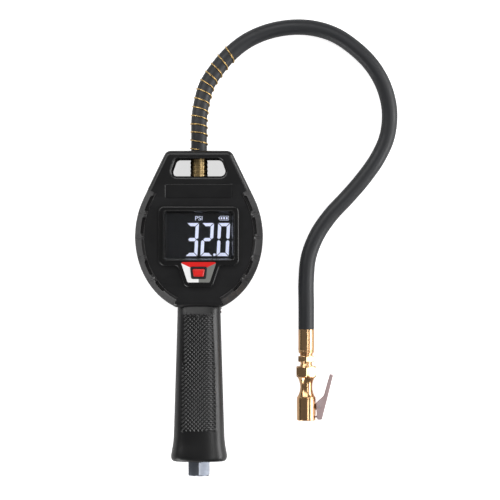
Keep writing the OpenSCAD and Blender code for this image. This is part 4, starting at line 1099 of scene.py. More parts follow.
    def digits(self, values, light):
        height = values.digit_height / MM
        stroke = values.stroke / MM
        base_y = SCREEN[:, 1].min() + 1.6
        top_z = span("lcd_module")[1].z
        digits = [sign for sign in values.reading if sign in self.LIT]
        right_x = SCREEN[:, 0].max() - 0.9 - self.SLANT * height
        room = self.DOT_ROOM * values.reading.count(".")
        x = right_x - self.DIGIT_WIDTH - self.DIGIT_PITCH * (len(digits) - 1) - room
        skin = Skin()

        def lay(outline):
            skin.slab([(outline, top_z + self.LIFT_LOW), (outline, top_z + self.LIFT_HIGH)])

        for sign in values.reading:
            if sign in self.LIT:
                for bar in self.bars(sign, self.DIGIT_WIDTH, height, stroke):
                    lay(np.array([(x + a + self.SLANT * b, base_y + b) for a, b in bar]))
                x += self.DIGIT_PITCH
            elif sign == ".":
                x += self.DOT_ROOM
                dot_x = x - (self.DIGIT_PITCH - self.DIGIT_WIDTH + self.DOT_ROOM) / 2
                lay(circle(dot_x, base_y + 1.1, 1.1, 24))
        seat(skin.build("lcd_digits", [light]), "inflator", "lcd_light")

    def marks(self, light):
        """The unit over the digits, and a charge mark of three bars in a case."""
        top_z = span("lcd_module")[1].z
        mark_y = SCREEN[:, 1].max() - 5.6
        writing = bpy.data.curves.new("unit", "FONT")
        writing.body = "PSI"
        writing.size = 4.9
        writing.align_x = "CENTER"
        writing.extrude = 0.05
        words = link("lcd_unit_mark", writing)
        graph = bpy.context.evaluated_depsgraph_get()
        mesh = bpy.data.meshes.new_from_object(words.evaluated_get(graph), depsgraph=graph)
        bpy.data.objects.remove(words)
        for vertex in mesh.vertices:
            x, y, z = vertex.co
            vertex.co = Vector((x * 1.1, mark_y + y, top_z + 0.065 + z)) * MM
        mesh.materials.clear()
        mesh.materials.append(light)
        seat(link("lcd_unit_mark", mesh), "inflator", "lcd_light")

        skin = Skin()
        low_y, high_y = mark_y, mark_y + 3.4
        mid_y = (low_y + high_y) / 2
        left, right = 15.9, 24.1

        def lay(outline, *holes):
            ends = (top_z + self.LIFT_LOW, top_z + self.LIFT_HIGH)
            low, high = skin.stack([(outline, z) for z in ends])
            inner = [skin.stack([(hole, z) for z in reversed(ends)]) for hole in holes]
            skin.cap(high, *[pair[0] for pair in inner])
            skin.cap(low, *[pair[1] for pair in inner])

        def block(x_low, x_high, y_low, y_high, r=0.15):
            return rounded([(x_high, y_low, r), (x_high, y_high, r),
                            (x_low, y_high, r), (x_low, y_low, r)], 3)

        lay(block(left + 0.8, right, low_y, high_y, 0.4),
            block(left + 1.08, right - 0.28, low_y + 0.28, high_y - 0.28))
        lay(block(left, left + 0.7, mid_y - 0.8, mid_y + 0.8))
        for k in range(3):
            x = left + 1.75 + 2.1 * k
            lay(block(x, x + 1.3, low_y + 0.8, high_y - 0.8))
        seat(skin.build("lcd_charge_mark", [light]), "inflator", "lcd_light")


SURROUND_LOW, SURROUND_HIGH = span("button_seal")
BUTTON_WELL = trapezium(5.9, 6.9, SURROUND_LOW.y - 0.02, SURROUND_HIGH.y + 0.02, 1.4)


class INFLATOR_OT_button(bpy.types.Operator):
    """Red mode button, its black surround and the three-colour printed label"""
    bl_idname = "inflator.button"
    bl_label = "Mode Button"

    def execute(self, context):
        values = context.scene.inflator_head
        red = rgb(values.button_colour)
        gloss = finish("button_red", red, dim(red, 0.85), (0.28, 0.4), grain=2500.0,
                       depth=0.008, rubbed=0.3, rubbed_colour=(0.9, 0.4, 0.35), Coat_Weight=0.15)
        black = finish("seal_black", (0.008, 0.008, 0.009), (0.014, 0.014, 0.014), (0.35, 0.5), depth=0.01)
        middle = (SURROUND_LOW.y + SURROUND_HIGH.y) / 2
        key = trapezium(4.0, 5.0, middle - 3.1, middle + 3.1, 0.9)
        top = span("mode_button")[1].z
        skin = Skin()
        steps = [(0.35, BEZEL_Z - 3.2), (0.0, BEZEL_Z - 3.0), (0.0, top - 1.0), (-0.12, top - 0.6),
                 (-0.4, top - 0.25), (-0.8, top - 0.05), (-1.2, top)]
        skin.slab([(spread(key, grow), z) for grow, z in steps])
        seat(soften(skin.build("mode_button_cap", [gloss])), "button", "button_red", "mode_button")

        skin = Skin()
        hole = spread(key, 0.15)
        wall = spread(BUTTON_WELL, -0.04)
        base, crest = skin.stack([(wall, SURROUND_LOW.z), (wall, SURROUND_HIGH.z - 0.3),
                                  (spread(BUTTON_WELL, -0.3), SURROUND_HIGH.z)])
        mouth, foot = skin.stack([(spread(hole, 0.2), SURROUND_HIGH.z), (hole, SURROUND_HIGH.z - 0.2),
                                  (hole, SURROUND_LOW.z)])
        skin.cap(crest, mouth)
        skin.cap(base, foot)
        seat(soften(skin.build("button_surround", [black])), "inflator", "seal_black", "button_seal")
        self.label()
        return {"FINISHED"}

    def label(self):
        """Red band across the top, white on the left and grey on the right of the button."""
        low, high = span("button_label")
        outline = trapezium(8.9, 14.3, low.y, high.y, 1.2)
        red_edge = SURROUND_HIGH.y - 0.6
        side, side_y = 14.6, high.y - 0.6
        floor_y = low.y - 1
        regions = {
            "label_red": ((0.86, 0.12, 0.11), [
                (side, high.y + 0.5), (-side, high.y + 0.5), (-side, side_y), (-7.0, red_edge),
                (7.0, red_edge), (side, side_y)]),
            "label_white": ((0.95, 0.95, 0.95), [
                (-side, side_y), (-14.8, floor_y), (0.0, floor_y), (0.0, red_edge), (-7.0, red_edge)]),
            "label_grey": ((0.47, 0.475, 0.46), [
                (side, side_y), (7.0, red_edge), (0.0, red_edge), (0.0, floor_y), (14.8, floor_y)]),
        }
        for name, (shown, region) in regions.items():
            tone = rgb(shown)
            ink = finish(name, tone, dim(tone, 0.92), (0.26, 0.36), "scratched", grain=900.0,
                         depth=0.002)
            piece = prism("button_" + name, outline, low.z, high.z, [ink])
            cut(piece, prism("region", np.array(region), low.z - 1, high.z + 1), operation="INTERSECT")
            cut(piece, prism("well", spread(BUTTON_WELL, 0.03), low.z - 1, high.z + 1))
            smooth(piece.data, 35.0)
            stands_for = ["button_label"] if name == "label_white" else []
            seat(soften(piece), "inflator", "label_print", *stands_for)


class INFLATOR_OT_battery_cover(bpy.types.Operator):
    """Battery cover on the back, with moulded finger ribs"""
    bl_idname = "inflator.battery_cover"
    bl_label = "Battery Cover"

    def execute(self, context):
        low, high = span("battery_cover")
        tone = rgb(context.scene.inflator_head.shell_colour)
        plastic = finish("cover_black", tone, dim(tone, 0.75), (0.36, 0.5), grain=2600.0,
                         depth=0.012, rubbed=0.5, rubbed_colour=dim(tone, 3.0))
        outline = rectangle(high.x, low.y, high.y, 0.9)
        hole = circle(0.0, span("battery_cover_screw")[0].y + 2.3, 2.4)
        skin = Skin()
        bottom, top = skin.stack([(spread(outline, -0.35), low.z), (spread(outline, -0.1), low.z + 0.1),
                                  (outline, low.z + 0.35), (outline, high.z)])
        mouth, inner = skin.stack([(spread(hole, 0.2), low.z), (hole, low.z + 0.2), (hole, high.z)])
        pocket = rectangle(9.6, low.y + 3.4, low.y + 18.6, 2.0)
        brim, floor = skin.stack([(spread(pocket, 0.15), low.z), (pocket, low.z + 0.12),
                                  (spread(pocket, -0.3), low.z + 0.6)])
        skin.cap(floor)
        skin.cap(bottom, mouth, brim)
        skin.cap(top, inner)
        cover = skin.build("battery_cover_moulding", [plastic])
        seat(soften(cover), "inflator", "shell_black", "battery_cover")
        ribs = rib_row("battery_cover_ribs", plastic, count=6, pitch=2.2, width=17.0, height=0.45, depth=0.8,
                       first=(0.0, low.y + 5.5, low.z + 0.6), step=(0.0, 1.0, 0.0))
        seat(ribs, "inflator", "shell_black")
        return {"FINISHED"}


# ---------- node trees for what repeats ----------

def node_tree(name, inputs):
    """A Geometry Nodes tree with named inputs, each (label, kind, default)."""
    tree = bpy.data.node_groups.new(name, "GeometryNodeTree")
    tree.interface.new_socket("Geometry", in_out="INPUT", socket_type="NodeSocketGeometry")
    for label, kind, default in inputs:
        socket = tree.interface.new_socket(label, in_out="INPUT", socket_type="NodeSocket" + kind)
        if default is not None:
            socket.default_value = default
    tree.interface.new_socket("Geometry", in_out="OUTPUT", socket_type="NodeSocketGeometry")
    return tree, tree.nodes.new("NodeGroupInput").outputs, tree.nodes.new("NodeGroupOutput").inputs


def close_tree(tree, leave, geometry, material):
    real = put(tree, "GeometryNodeRealizeInstances", None, {0: geometry}).outputs[0]
    painted = put(tree, "GeometryNodeSetMaterial", None, {"Geometry": real, "Material": material}).outputs[0]
    tree.links.new(painted, leave[0])


def grow(name, seed, tree, values):
    """Runs a node tree on a seed mesh and returns the result as a plain piece."""
    obj = link(name, seed)
    modifier = obj.modifiers.new(name, "NODES")
    modifier.node_group = tree
    for label, value in values.items():
        socket = next(s for s in tree.interface.items_tree if s.name == label and s.in_out == "INPUT")
        modifier[socket.identifier] = value
    settle(obj)
    return obj


def compose(tree, x, y, z):
    return put(tree, "ShaderNodeCombineXYZ", None, {0: x, 1: y, 2: z}).outputs[0]


def moved(tree, mesh, **how):
    return put(tree, "GeometryNodeTransform", None, {"Geometry": mesh, **how}).outputs[0]


def placed_at(tree, points, piece, **how):
    return put(tree, "GeometryNodeInstanceOnPoints", None,
               {"Points": points, "Instance": piece, **how}).outputs[0]


def knurl_tree():
    """Diamonds in two interleaved grids, dropped onto a field and stood along its normals."""
    tree, given, leave = node_tree("Knurl Diamonds", (
        ("Pitch Across", "Float", 0.0032), ("Pitch Along", "Float", 0.0033), ("Height", "Float", 0.0009),
        ("Columns", "Int", 12), ("Rows", "Int", 32), ("Middle", "Vector", (0.0, 0.0, 0.0)),
        ("Material", "Material", None)))
    size_x = times(tree, given["Pitch Across"], maths(tree, "SUBTRACT", given["Columns"], 1.0))
    size_y = times(tree, given["Pitch Along"], maths(tree, "SUBTRACT", given["Rows"], 1.0))
    grid = put(tree, "GeometryNodeMeshGrid", None, {
        "Size X": size_x, "Size Y": size_y, "Vertices X": given["Columns"], "Vertices Y": given["Rows"]})
    half = compose(tree, times(tree, given["Pitch Across"], 0.5),
                   times(tree, given["Pitch Along"], 0.5), 0.0)
    other = moved(tree, grid.outputs[0], Translation=half)
    both = tree.nodes.new("GeometryNodeJoinGeometry")
    tree.links.new(grid.outputs[0], both.inputs[0])
    tree.links.new(other, both.inputs[0])
    placed = moved(tree, both.outputs[0], Translation=given["Middle"])
    position = tree.nodes.new("GeometryNodeInputPosition").outputs[0]
    above = vector_maths(tree, "ADD", position, (0.0, 0.0, 0.06))
    ray = put(tree, "GeometryNodeRaycast", {"data_type": "FLOAT"}, {
        "Target Geometry": given["Geometry"], "Source Position": above,
        "Ray Direction": (0.0, 0.0, -1.0), "Ray Length": 0.2})
    missed = put(tree, "FunctionNodeBooleanMath", {"operation": "NOT"}, {0: ray.outputs["Is Hit"]})
    kept = put(tree, "GeometryNodeDeleteGeometry", None,
               {"Geometry": placed, "Selection": missed.outputs[0]})
    laid = put(tree, "GeometryNodeSetPosition", None,
               {"Geometry": kept.outputs[0], "Position": ray.outputs["Hit Position"]})
    diamond = put(tree, "GeometryNodeMeshCone", {"fill_type": "NGON"},
                  {"Vertices": 4, "Radius Top": times(tree, given["Pitch Across"], 0.09),
                   "Radius Bottom": times(tree, given["Pitch Across"], 0.41),
                   "Depth": given["Height"]})
    stretch = maths(tree, "DIVIDE", given["Pitch Along"], given["Pitch Across"])
    shaped = moved(tree, diamond.outputs[0], Scale=compose(tree, 1.0, stretch, 1.0))
    upright = put(tree, "FunctionNodeAlignRotationToVector", {"axis": "Z"},
                  {"Vector": ray.outputs["Hit Normal"]})
    stood = placed_at(tree, laid.outputs[0], shaped, Rotation=upright.outputs[0])
    close_tree(tree, leave, stood, given["Material"])
    return tree


def rib_tree():
    """Half-round ribs in a row."""
    tree, given, leave = node_tree("Rib Row", (
        ("Count", "Int", 6), ("Step", "Vector", (0.0, 0.002, 0.0)),
        ("First", "Vector", (0.0, 0.0, 0.0)), ("Width", "Float", 0.01),
        ("Height", "Float", 0.0005), ("Depth", "Float", 0.001),
        ("Material", "Material", None)))
    row = put(tree, "GeometryNodeMeshLine", {"mode": "OFFSET"},
              {"Count": given["Count"], "Start Location": given["First"], "Offset": given["Step"]})
    ball = put(tree, "GeometryNodeMeshUVSphere", None, {"Segments": 24, "Rings": 12, "Radius": 1.0})
    shaped = moved(tree, ball.outputs[0], Scale=compose(
        tree, times(tree, given["Width"], 0.5), times(tree, given["Depth"], 0.5), given["Height"]))
    smoothed = put(tree, "GeometryNodeSetShadeSmooth", None,
                   {"Geometry": shaped, "Shade Smooth": True})
    placed = placed_at(tree, row.outputs[0], smoothed.outputs[0])
    close_tree(tree, leave, placed, given["Material"])
    return tree


def screw_tree():
    """Screw heads with a cross recess, facing along -Z, at the seed's points."""
    tree, given, leave = node_tree("Cross Recess Screws", (
        ("Head Radius", "Float", 0.0029), ("Head Height", "Float", 0.002),
        ("Shank Radius", "Float", 0.0015), ("Shank Length", "Float", 0.01),
        ("Material", "Material", None)))
    crown = put(tree, "GeometryNodeMeshCone", {"fill_type": "NGON"},
                {"Vertices": 40, "Side Segments": 1, "Radius Top": given["Head Radius"],
                 "Radius Bottom": times(tree, given["Head Radius"], 0.8),
                 "Depth": times(tree, given["Head Height"], 0.4)})
    skirt_depth = times(tree, given["Head Height"], 0.6)
    skirt = put(tree, "GeometryNodeMeshCone", {"fill_type": "NGON"},
                {"Vertices": 40, "Side Segments": 1, "Radius Top": given["Head Radius"],
                 "Radius Bottom": given["Head Radius"], "Depth": skirt_depth})
    skirt_up = moved(tree, skirt.outputs[0],
                     Translation=compose(tree, 0.0, 0.0, times(tree, given["Head Height"], 0.4)))
    head = put(tree, "GeometryNodeMeshBoolean", {"operation": "UNION", "solver": "EXACT"})
    tree.links.new(crown.outputs[0], head.inputs["Mesh 2"])
    tree.links.new(skirt_up, head.inputs["Mesh 2"])
    long_side = times(tree, given["Head Radius"], 1.15)
    thin_side = times(tree, given["Head Radius"], 0.26)
    recess = put(tree, "GeometryNodeMeshBoolean", {"operation": "DIFFERENCE", "solver": "EXACT"},
                 {"Mesh 1": head.outputs[0]})
    for x, y in ((long_side, thin_side), (thin_side, long_side)):
        bar = put(tree, "GeometryNodeMeshCube", None, {"Size": compose(tree, x, y, given["Head Height"])})
        tree.links.new(bar.outputs[0], recess.inputs["Mesh 2"])
    shank = put(tree, "GeometryNodeMeshCylinder", None,
                {"Vertices": 24, "Radius": given["Shank Radius"], "Depth": given["Shank Length"]})
    reach = maths(tree, "ADD", given["Head Height"], times(tree, given["Shank Length"], 0.49))
    shank_up = moved(tree, shank.outputs[0], Translation=compose(tree, 0.0, 0.0, reach))
    whole = tree.nodes.new("GeometryNodeJoinGeometry")
    tree.links.new(recess.outputs[0], whole.inputs[0])
    tree.links.new(shank_up, whole.inputs[0])
    placed = placed_at(tree, given["Geometry"], whole.outputs[0])
    close_tree(tree, leave, placed, given["Material"])
    return tree


TREES = {}


def rib_row(name, material, count, pitch, width, height, depth, first, step):
    """A row of ribs; sizes and the first place in millimetres, step a direction."""
    if "rib" not in TREES:
        TREES["rib"] = rib_tree()
    offset = Vector(step) * pitch * MM
    return grow(name, bpy.data.meshes.new(name), TREES["rib"], {
        "Count": count, "Step": offset[:], "First": (Vector(first) * MM)[:], "Width": width * MM,
        "Height": height * MM, "Depth": depth * MM, "Material": material})


def both_sides(places):
    return [(side * x, y) for x, y in places for side in (1, -1)]


class INFLATOR_OT_screws(bpy.types.Operator):
    """Shell, handle and battery-cover screws with cross recesses"""
    bl_idname = "inflator.screws"
    bl_label = "Screws"

    def execute(self, context):
        TREES["screw"] = screw_tree()
        black = metal("black_steel", (0.035, 0.035, 0.038), (0.06, 0.06, 0.065), (0.28, 0.42), grain=800.0,
                      depth=0.004)
        steel = metal("steel", (0.5, 0.5, 0.52), (0.36, 0.36, 0.38), (0.25, 0.4), grain=800.0, depth=0.004)
        cover_y = sum(corner.y for corner in span("battery_cover_screw")) / 2
        in_handle = ((14.2, Y_HEEL + 8), (14.2, Y_HEEL + 34))
        sets = (
            # node, alloy, slot, head's width and height, shank's width, places
            ("shell_screws", black, "black_steel", 5.7, 2.3, 3.0, both_sides(SHELL_SCREWS)),
            ("handle_screws", black, "black_steel", 4.5, 1.5, 2.4, both_sides(in_handle)),
            ("battery_cover_screw", steel, "steel", 4.5, 0.85, 2.4, [(0.0, cover_y)]),
        )
        for node, alloy, slot, head_d, head_h, shank_d, places in sets:
            low, high = span(node)
            seed = bpy.data.meshes.new(node)
            seed.from_pydata([Vector((x, y, low.z)) * MM for x, y in places], [], [])
            screws = grow(node + "_set", seed, TREES["screw"], {
                "Head Radius": head_d / 2 * MM, "Head Height": head_h * MM, "Shank Radius": shank_d / 2 * MM,
                "Shank Length": (high.z - low.z - head_h) * MM, "Material": alloy})
            seat(screws, "inflator", slot, node)
        return {"FINISHED"}


# ---------- handle ----------

HEEL_HALF = span("handle_rear_shell")[1].x
NECK_HALF = 17.4
WAIST_HALF = NECK_HALF + 3.1
HAND_BACK = 14.0
HAND_FRONT = 15.0
NECK_FRONT = 12.0
NECK_DIP = 3.4
STATIONS = np.array([
    # height above the heel, half width, depth behind and in front of the air axis
    (0, HEEL_HALF - 1.9, AIR_Z - 1.6, HAND_FRONT + 1.4),
    (1.3, HEEL_HALF - 0.5, AIR_Z - 0.4, HAND_FRONT + 2.6),
    (3.5, HEEL_HALF, AIR_Z, HAND_FRONT + 3),
    (6, HEEL_HALF - 0.3, AIR_Z - 0.6, HAND_FRONT + 2.8),
    (10.5, HEEL_HALF - 1.5, AIR_Z - 3.6, HAND_FRONT + 2),
    (16, WAIST_HALF + 0.2, HAND_BACK + 1.4, HAND_FRONT + 1.2),
    (21, WAIST_HALF - 0.1, HAND_BACK, HAND_FRONT + 0.8),
    (HANDLE_LEN - NECK_DIP, NECK_HALF, HAND_BACK, HAND_FRONT),
    (HANDLE_LEN, NECK_HALF, HAND_BACK, NECK_FRONT),
    (HANDLE_LEN + NECK_LEN, NECK_HALF, HAND_BACK, NECK_FRONT),
])
SECTION_POWER = 3.0


def smoothed_stations():
    """The stations sampled every half millimetre and rounded where they turn."""
    heights = np.arange(0, HANDLE_LEN + NECK_LEN + 0.25, 0.5)
    columns = []
    for k in (1, 2, 3):
        raw = np.interp(heights, STATIONS[:, 0], STATIONS[:, k])
        soft = raw.copy()
        for i in range(len(heights)):
            reach = int(min(9, i / 1.5, len(heights) - 1 - i))
            soft[i] = raw[i - reach:i + reach + 1].mean()
        columns.append(soft)
    return heights, columns


SMOOTH_HEIGHTS, SMOOTH_COLUMNS = smoothed_stations()


def station_at(h):
    """Half width, back and front of the handle at a height above the heel."""
    return [float(np.interp(h, SMOOTH_HEIGHTS, column)) for column in SMOOTH_COLUMNS]


def section_point(half, back, front, a):
    """A point of the rounded section: a = 0 faces +Z and 90 degrees faces +X."""
    c, s = math.cos(a), math.sin(a)
    reach = (abs(c) ** SECTION_POWER + abs(s) ** SECTION_POWER) ** (-1 / SECTION_POWER)
    return half * s * reach, (front if c > 0 else back) * c * reach


def section_ring(y, half, back, front, steps=96):
    ring = [section_point(half, back, front, a) for a in np.linspace(0, 2 * math.pi, steps, endpoint=False)]
    return [(x, y, AIR_Z + z) for x, z in ring]


def handle_top(x, y):
    """Height of the handle's front surface over a place."""
    half, _, front = station_at(y - Y_HEEL)
    inside = max(0.0, 1 - (abs(x) / half) ** SECTION_POWER)
    return AIR_Z + front * inside ** (1 / SECTION_POWER)


PANEL_LOW_Y = Y_HEEL + 23.4
PANEL_HIGH_Y = PANEL_LOW_Y + 97.0
PANEL = trapezium(15.6, 12.9, PANEL_LOW_Y, PANEL_HIGH_Y, 3.0, 8)


class INFLATOR_OT_handle(bpy.types.Operator):
    """Front and rear mouldings of the handle, split along the air axis, with the trigger's slot"""
    bl_idname = "inflator.handle"
    bl_label = "Handle Shells"

    HEEL_FLOOR = 4.0
    SPLIT_EDGE = 0.18

    def execute(self, context):
        values = context.scene.inflator_handle
        tone = rgb(values.handle_colour)
        plastic = finish("handle_black", tone, dim(tone, 0.75), (0.3, 0.42), grain=2400.0,
                         blotch=30.0, depth=0.012, rubbed=0.4, rubbed_colour=dim(tone, 4))
        front = self.half("handle_front_moulding", 1, plastic)
        seat(soften(front), "inflator", "shell_black", "handle_front_shell")
        rear = self.half("handle_rear_moulding", -1, plastic)
        lever_low, lever_high = span("trigger_lever")
        slot = rectangle(lever_high.x + 0.8, lever_low.y - 2.2, Y_HEAD + 3.6, 1.5)
        cut(rear, prism("slot_tool", slot, -5.0, span("trigger_pin")[1].z - 0.9))
        smooth(rear.data, 35.0)
        seat(soften(rear, 0.35, 2, 50.0), "inflator", "shell_black", "handle_rear_shell")
        return {"FINISHED"}

    def half(self, name, facing, plastic):
        """One half of the handle: an outer arc, and an inner one that is flat where the heel is solid."""
        steps = 56
        angles = np.linspace(-math.pi / 2, math.pi / 2, steps + 1)
        heights = [0.0, 0.25, 0.6, 1.0, 1.5, 2.2, 3.0, self.HEEL_FLOOR - 0.02, self.HEEL_FLOOR]
        heights += list(np.arange(5.0, HANDLE_LEN - 8, 1.5))
        heights += list(np.arange(HANDLE_LEN - 8, HANDLE_LEN + 1, 0.5))
        heights += [HANDLE_LEN + 4, HANDLE_LEN + NECK_LEN]
        skin = Skin()
        rings = []
        for h in heights:
            half, back, front = station_at(h)
            depth = front if facing > 0 else back
            outer = []
            for a in angles:
                x, z = section_point(half, depth, depth, a)
                outer.append((x, Y_HEEL + h, AIR_Z + facing * max(z, 0.0)))
            ends = [(x + (-self.SPLIT_EDGE if x > 0 else self.SPLIT_EDGE), y, AIR_Z)
                    for x, y, _ in (outer[-1], outer[0])]
            outer[0] = (outer[0][0], outer[0][1], AIR_Z + facing * self.SPLIT_EDGE)
            outer[-1] = (outer[-1][0], outer[-1][1], AIR_Z + facing * self.SPLIT_EDGE)
            hollow = h >= self.HEEL_FLOOR
            inner = []
            for a in reversed(angles):
                x, z = section_point(half - WALL - 0.6, depth - WALL, depth - WALL, a)
                inner.append((x, Y_HEEL + h, AIR_Z + facing * (max(z, 0.0) if hollow else 0.0)))
            rings.append(skin.ring(outer + [ends[0]] + inner + [ends[1]]))
        for a, b in zip(rings, rings[1:]):
            skin.bridge(a, b)
        skin.cap(rings[0])
        skin.cap(rings[-1])
        return skin.build(name, [plastic], 40.0)


class INFLATOR_OT_grip(bpy.types.Operator):
    """Grip panel let into the front of the handle, covered with knurled diamonds"""
    bl_idname = "inflator.grip"
    bl_label = "Grip Panel"

    PROUD = 0.12
    SINK = 1.3
    BORDER = 1.25

    def execute(self, context):
        values = context.scene.inflator_handle
        tone = rgb(values.grip_colour)
        rubber = finish("grip_black", tone, dim(tone, 0.7), (0.24, 0.34), grain=2600.0,
                        blotch=60.0, depth=0.004)
        panel = self.draped("grip_panel_base", rubber)
        seat(soften(panel), "inflator", "grip_black", "grip_panel")
        field = self.surface(spread(PANEL, -self.BORDER), self.PROUD - 0.06)
        middle = Vector((0.0, (PANEL_LOW_Y + PANEL_HIGH_Y) / 2 * MM, 0.0))
        across, along = values.knurl_across, values.knurl_along
        diamonds = grow("grip_panel_knurl", field, knurl_tree(), {
            "Pitch Across": across, "Pitch Along": along, "Height": values.knurl_height,
            "Columns": int(0.03 / across) + 2, "Rows": int(0.097 / along) + 2, "Middle": middle[:],
            "Material": rubber})
        seat(diamonds, "inflator", "grip_black")
        return {"FINISHED"}

    def surface(self, outline, lift):
        """A patch of the handle's front surface inside an outline, as a mesh in metres."""
        points, faces = self.mesh_inside(outline)
        mesh = bpy.data.meshes.new("field")
        mesh.from_pydata([Vector((x, y, handle_top(x, y) + lift)) * MM for x, y in points], [], faces)
        return mesh

    @staticmethod
    def mesh_inside(outline):
        low, high = outline.min(0), outline.max(0)
        grid = [(x, y) for x in np.arange(low[0] + 1, high[0], 1.1)
                for y in np.arange(low[1] + 1, high[1], 3.0)]
        points = [Vector(p) for p in outline] + [Vector(p) for p in grid]
        count = len(outline)
        edges = [(i, (i + 1) % count) for i in range(count)]
        found = delaunay_2d_cdt(points, edges, [list(range(count))], 1, 1e-5)
        return [tuple(p) for p in found[0]], [list(f) for f in found[2]]

    def draped(self, name, material):
        """The panel: a rounded upper surface, side walls and a flat underside."""
        skin = Skin()
        edge = [(0.0, -self.SINK), (0.0, -0.5), (-0.12, -0.15), (-0.4, 0.05)]
        rings = [skin.ring([(p[0], p[1], handle_top(p[0], p[1]) + lift) for p in spread(PANEL, grow)])
                 for grow, lift in edge]
        for a, b in zip(rings, rings[1:]):
            skin.bridge(a, b)
        for lift, grow, last in ((self.PROUD, -0.8, True), (-self.SINK, 0.0, False)):
            outline = spread(PANEL, grow)
            points, faces = self.mesh_inside(outline)
            ring = skin.ring([(x, y, handle_top(x, y) + lift) for x, y in points])
            for face in faces:
                skin.face([ring[i] for i in face])
            if last:
                skin.bridge(rings[-1], ring[:len(outline)])
        return skin.build(name, [material], 40.0)


class INFLATOR_OT_trigger(bpy.types.Operator):
    """Trigger lever under the handle with finger ribs, and the pin that it turns on"""
    bl_idname = "inflator.trigger"
    bl_label = "Trigger"

    def execute(self, context):
        half = span("trigger_lever")[1].x
        pin_low, pin_high = span("trigger_pin")
        pivot_z = (pin_low.z + pin_high.z) / 2
        pivot_y = (pin_low.y + pin_high.y) / 2
        inner_z = span("valve_stem")[0].z - 0.1
        profile = rounded([
            (pivot_y + 4.2, pivot_z + 1.5, 2.5), (pivot_y - 1, pivot_z + 4.3, 2.5),
            (pivot_y - 11, inner_z + 1.6, 3.0), (pivot_y - 15, inner_z, 3.0), (pivot_y - 30, inner_z, 6.0),
            (pivot_y - 73, inner_z - 3.7, 2.0), (pivot_y - 79, inner_z - 4.6, 1.2), (pivot_y - 78, 2.3, 1.0),
            (pivot_y - 66, 1.2, 12.0), (pivot_y - 44, 3.7, 25.0), (pivot_y - 24, 1.7, 14.0),
            (pivot_y - 12, 4.7, 6.0), (pivot_y + 2.5, pivot_z - 4.2, 2.6),
        ], 9)
        black = finish("lever_black", (0.012, 0.012, 0.013), (0.018, 0.018, 0.019), (0.3, 0.45), grain=2200.0,
                       depth=0.012, rubbed=0.6, rubbed_colour=(0.06, 0.06, 0.062))
        skin = Skin()
        skin.plate(lambda y, z, x: (x, y, z), profile, -half, half, circle(pivot_y, pivot_z, 2.06, 36))
        lever = skin.build("trigger_lever_moulding", [black])
        seat(soften(lever, 0.9, 4, 50.0), "trigger", "lever_black", "trigger_lever")
        ribs = rib_row("trigger_lever_ribs", black, count=9, pitch=3.4, width=13.0, height=0.55, depth=1.3,
                       first=(0.0, pivot_y - 64.0, 1.72), step=(0.0, 1.0, 0.02))
        seat(ribs, "trigger", "lever_black")

        steel = metal("pin_steel", (0.62, 0.57, 0.58), (0.5, 0.45, 0.47), (0.2, 0.34), "turned")
        place = lambda u, v, along: (along, pivot_y + u, pivot_z + v)
        seat_x = pin_high.x - 2.7
        pin = turned("trigger_pin_turned", steel, place, [
            (pin_low.x, 1.6), (pin_low.x + 0.4, 1.99), (seat_x, 1.99), (seat_x, 2.38),
            (pin_high.x - 0.5, 2.38), (pin_high.x - 0.12, 2.1), (pin_high.x, 1.5)], 48, False, 35.0)
        seat(soften(pin), "inflator", "steel", "trigger_pin")
        return {"FINISHED"}


class INFLATOR_OT_valve_spring(bpy.types.Operator):
    """Coil spring over the valve stem"""
    bl_idname = "inflator.valve_spring"
    bl_label = "Valve Spring"

    WIRE_R = 0.4
    TURNS = 3.5
    LIFT = 2.15
    SPARE = 0.15

    def execute(self, context):
        low, high = span("valve_spring")
        centre = np.array(((low.x + high.x) / 2, (low.y + high.y) / 2, 0.0))
        wind_r = (high.x - low.x) / 2 - self.WIRE_R
        steel = metal("spring_steel", (0.6, 0.6, 0.62), (0.45, 0.45, 0.47), (0.22, 0.36))
        normals = [np.array((math.cos(a), math.sin(a), 0.0))
                   for a in np.linspace(0, 2 * math.pi * self.TURNS, int(28 * self.TURNS))]
        heights = np.linspace(low.z + self.WIRE_R, high.z - self.WIRE_R, len(normals))
        skin = Skin()
        skin.tube([centre + wind_r * n + z * UP for n, z in zip(normals, heights)], normals, self.WIRE_R, 10)
        spring = skin.build("valve_spring_coil", [steel], 60.0)
        seat(spring, "inflator", "steel", "valve_spring")
        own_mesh(spring)
        return {"FINISHED"}


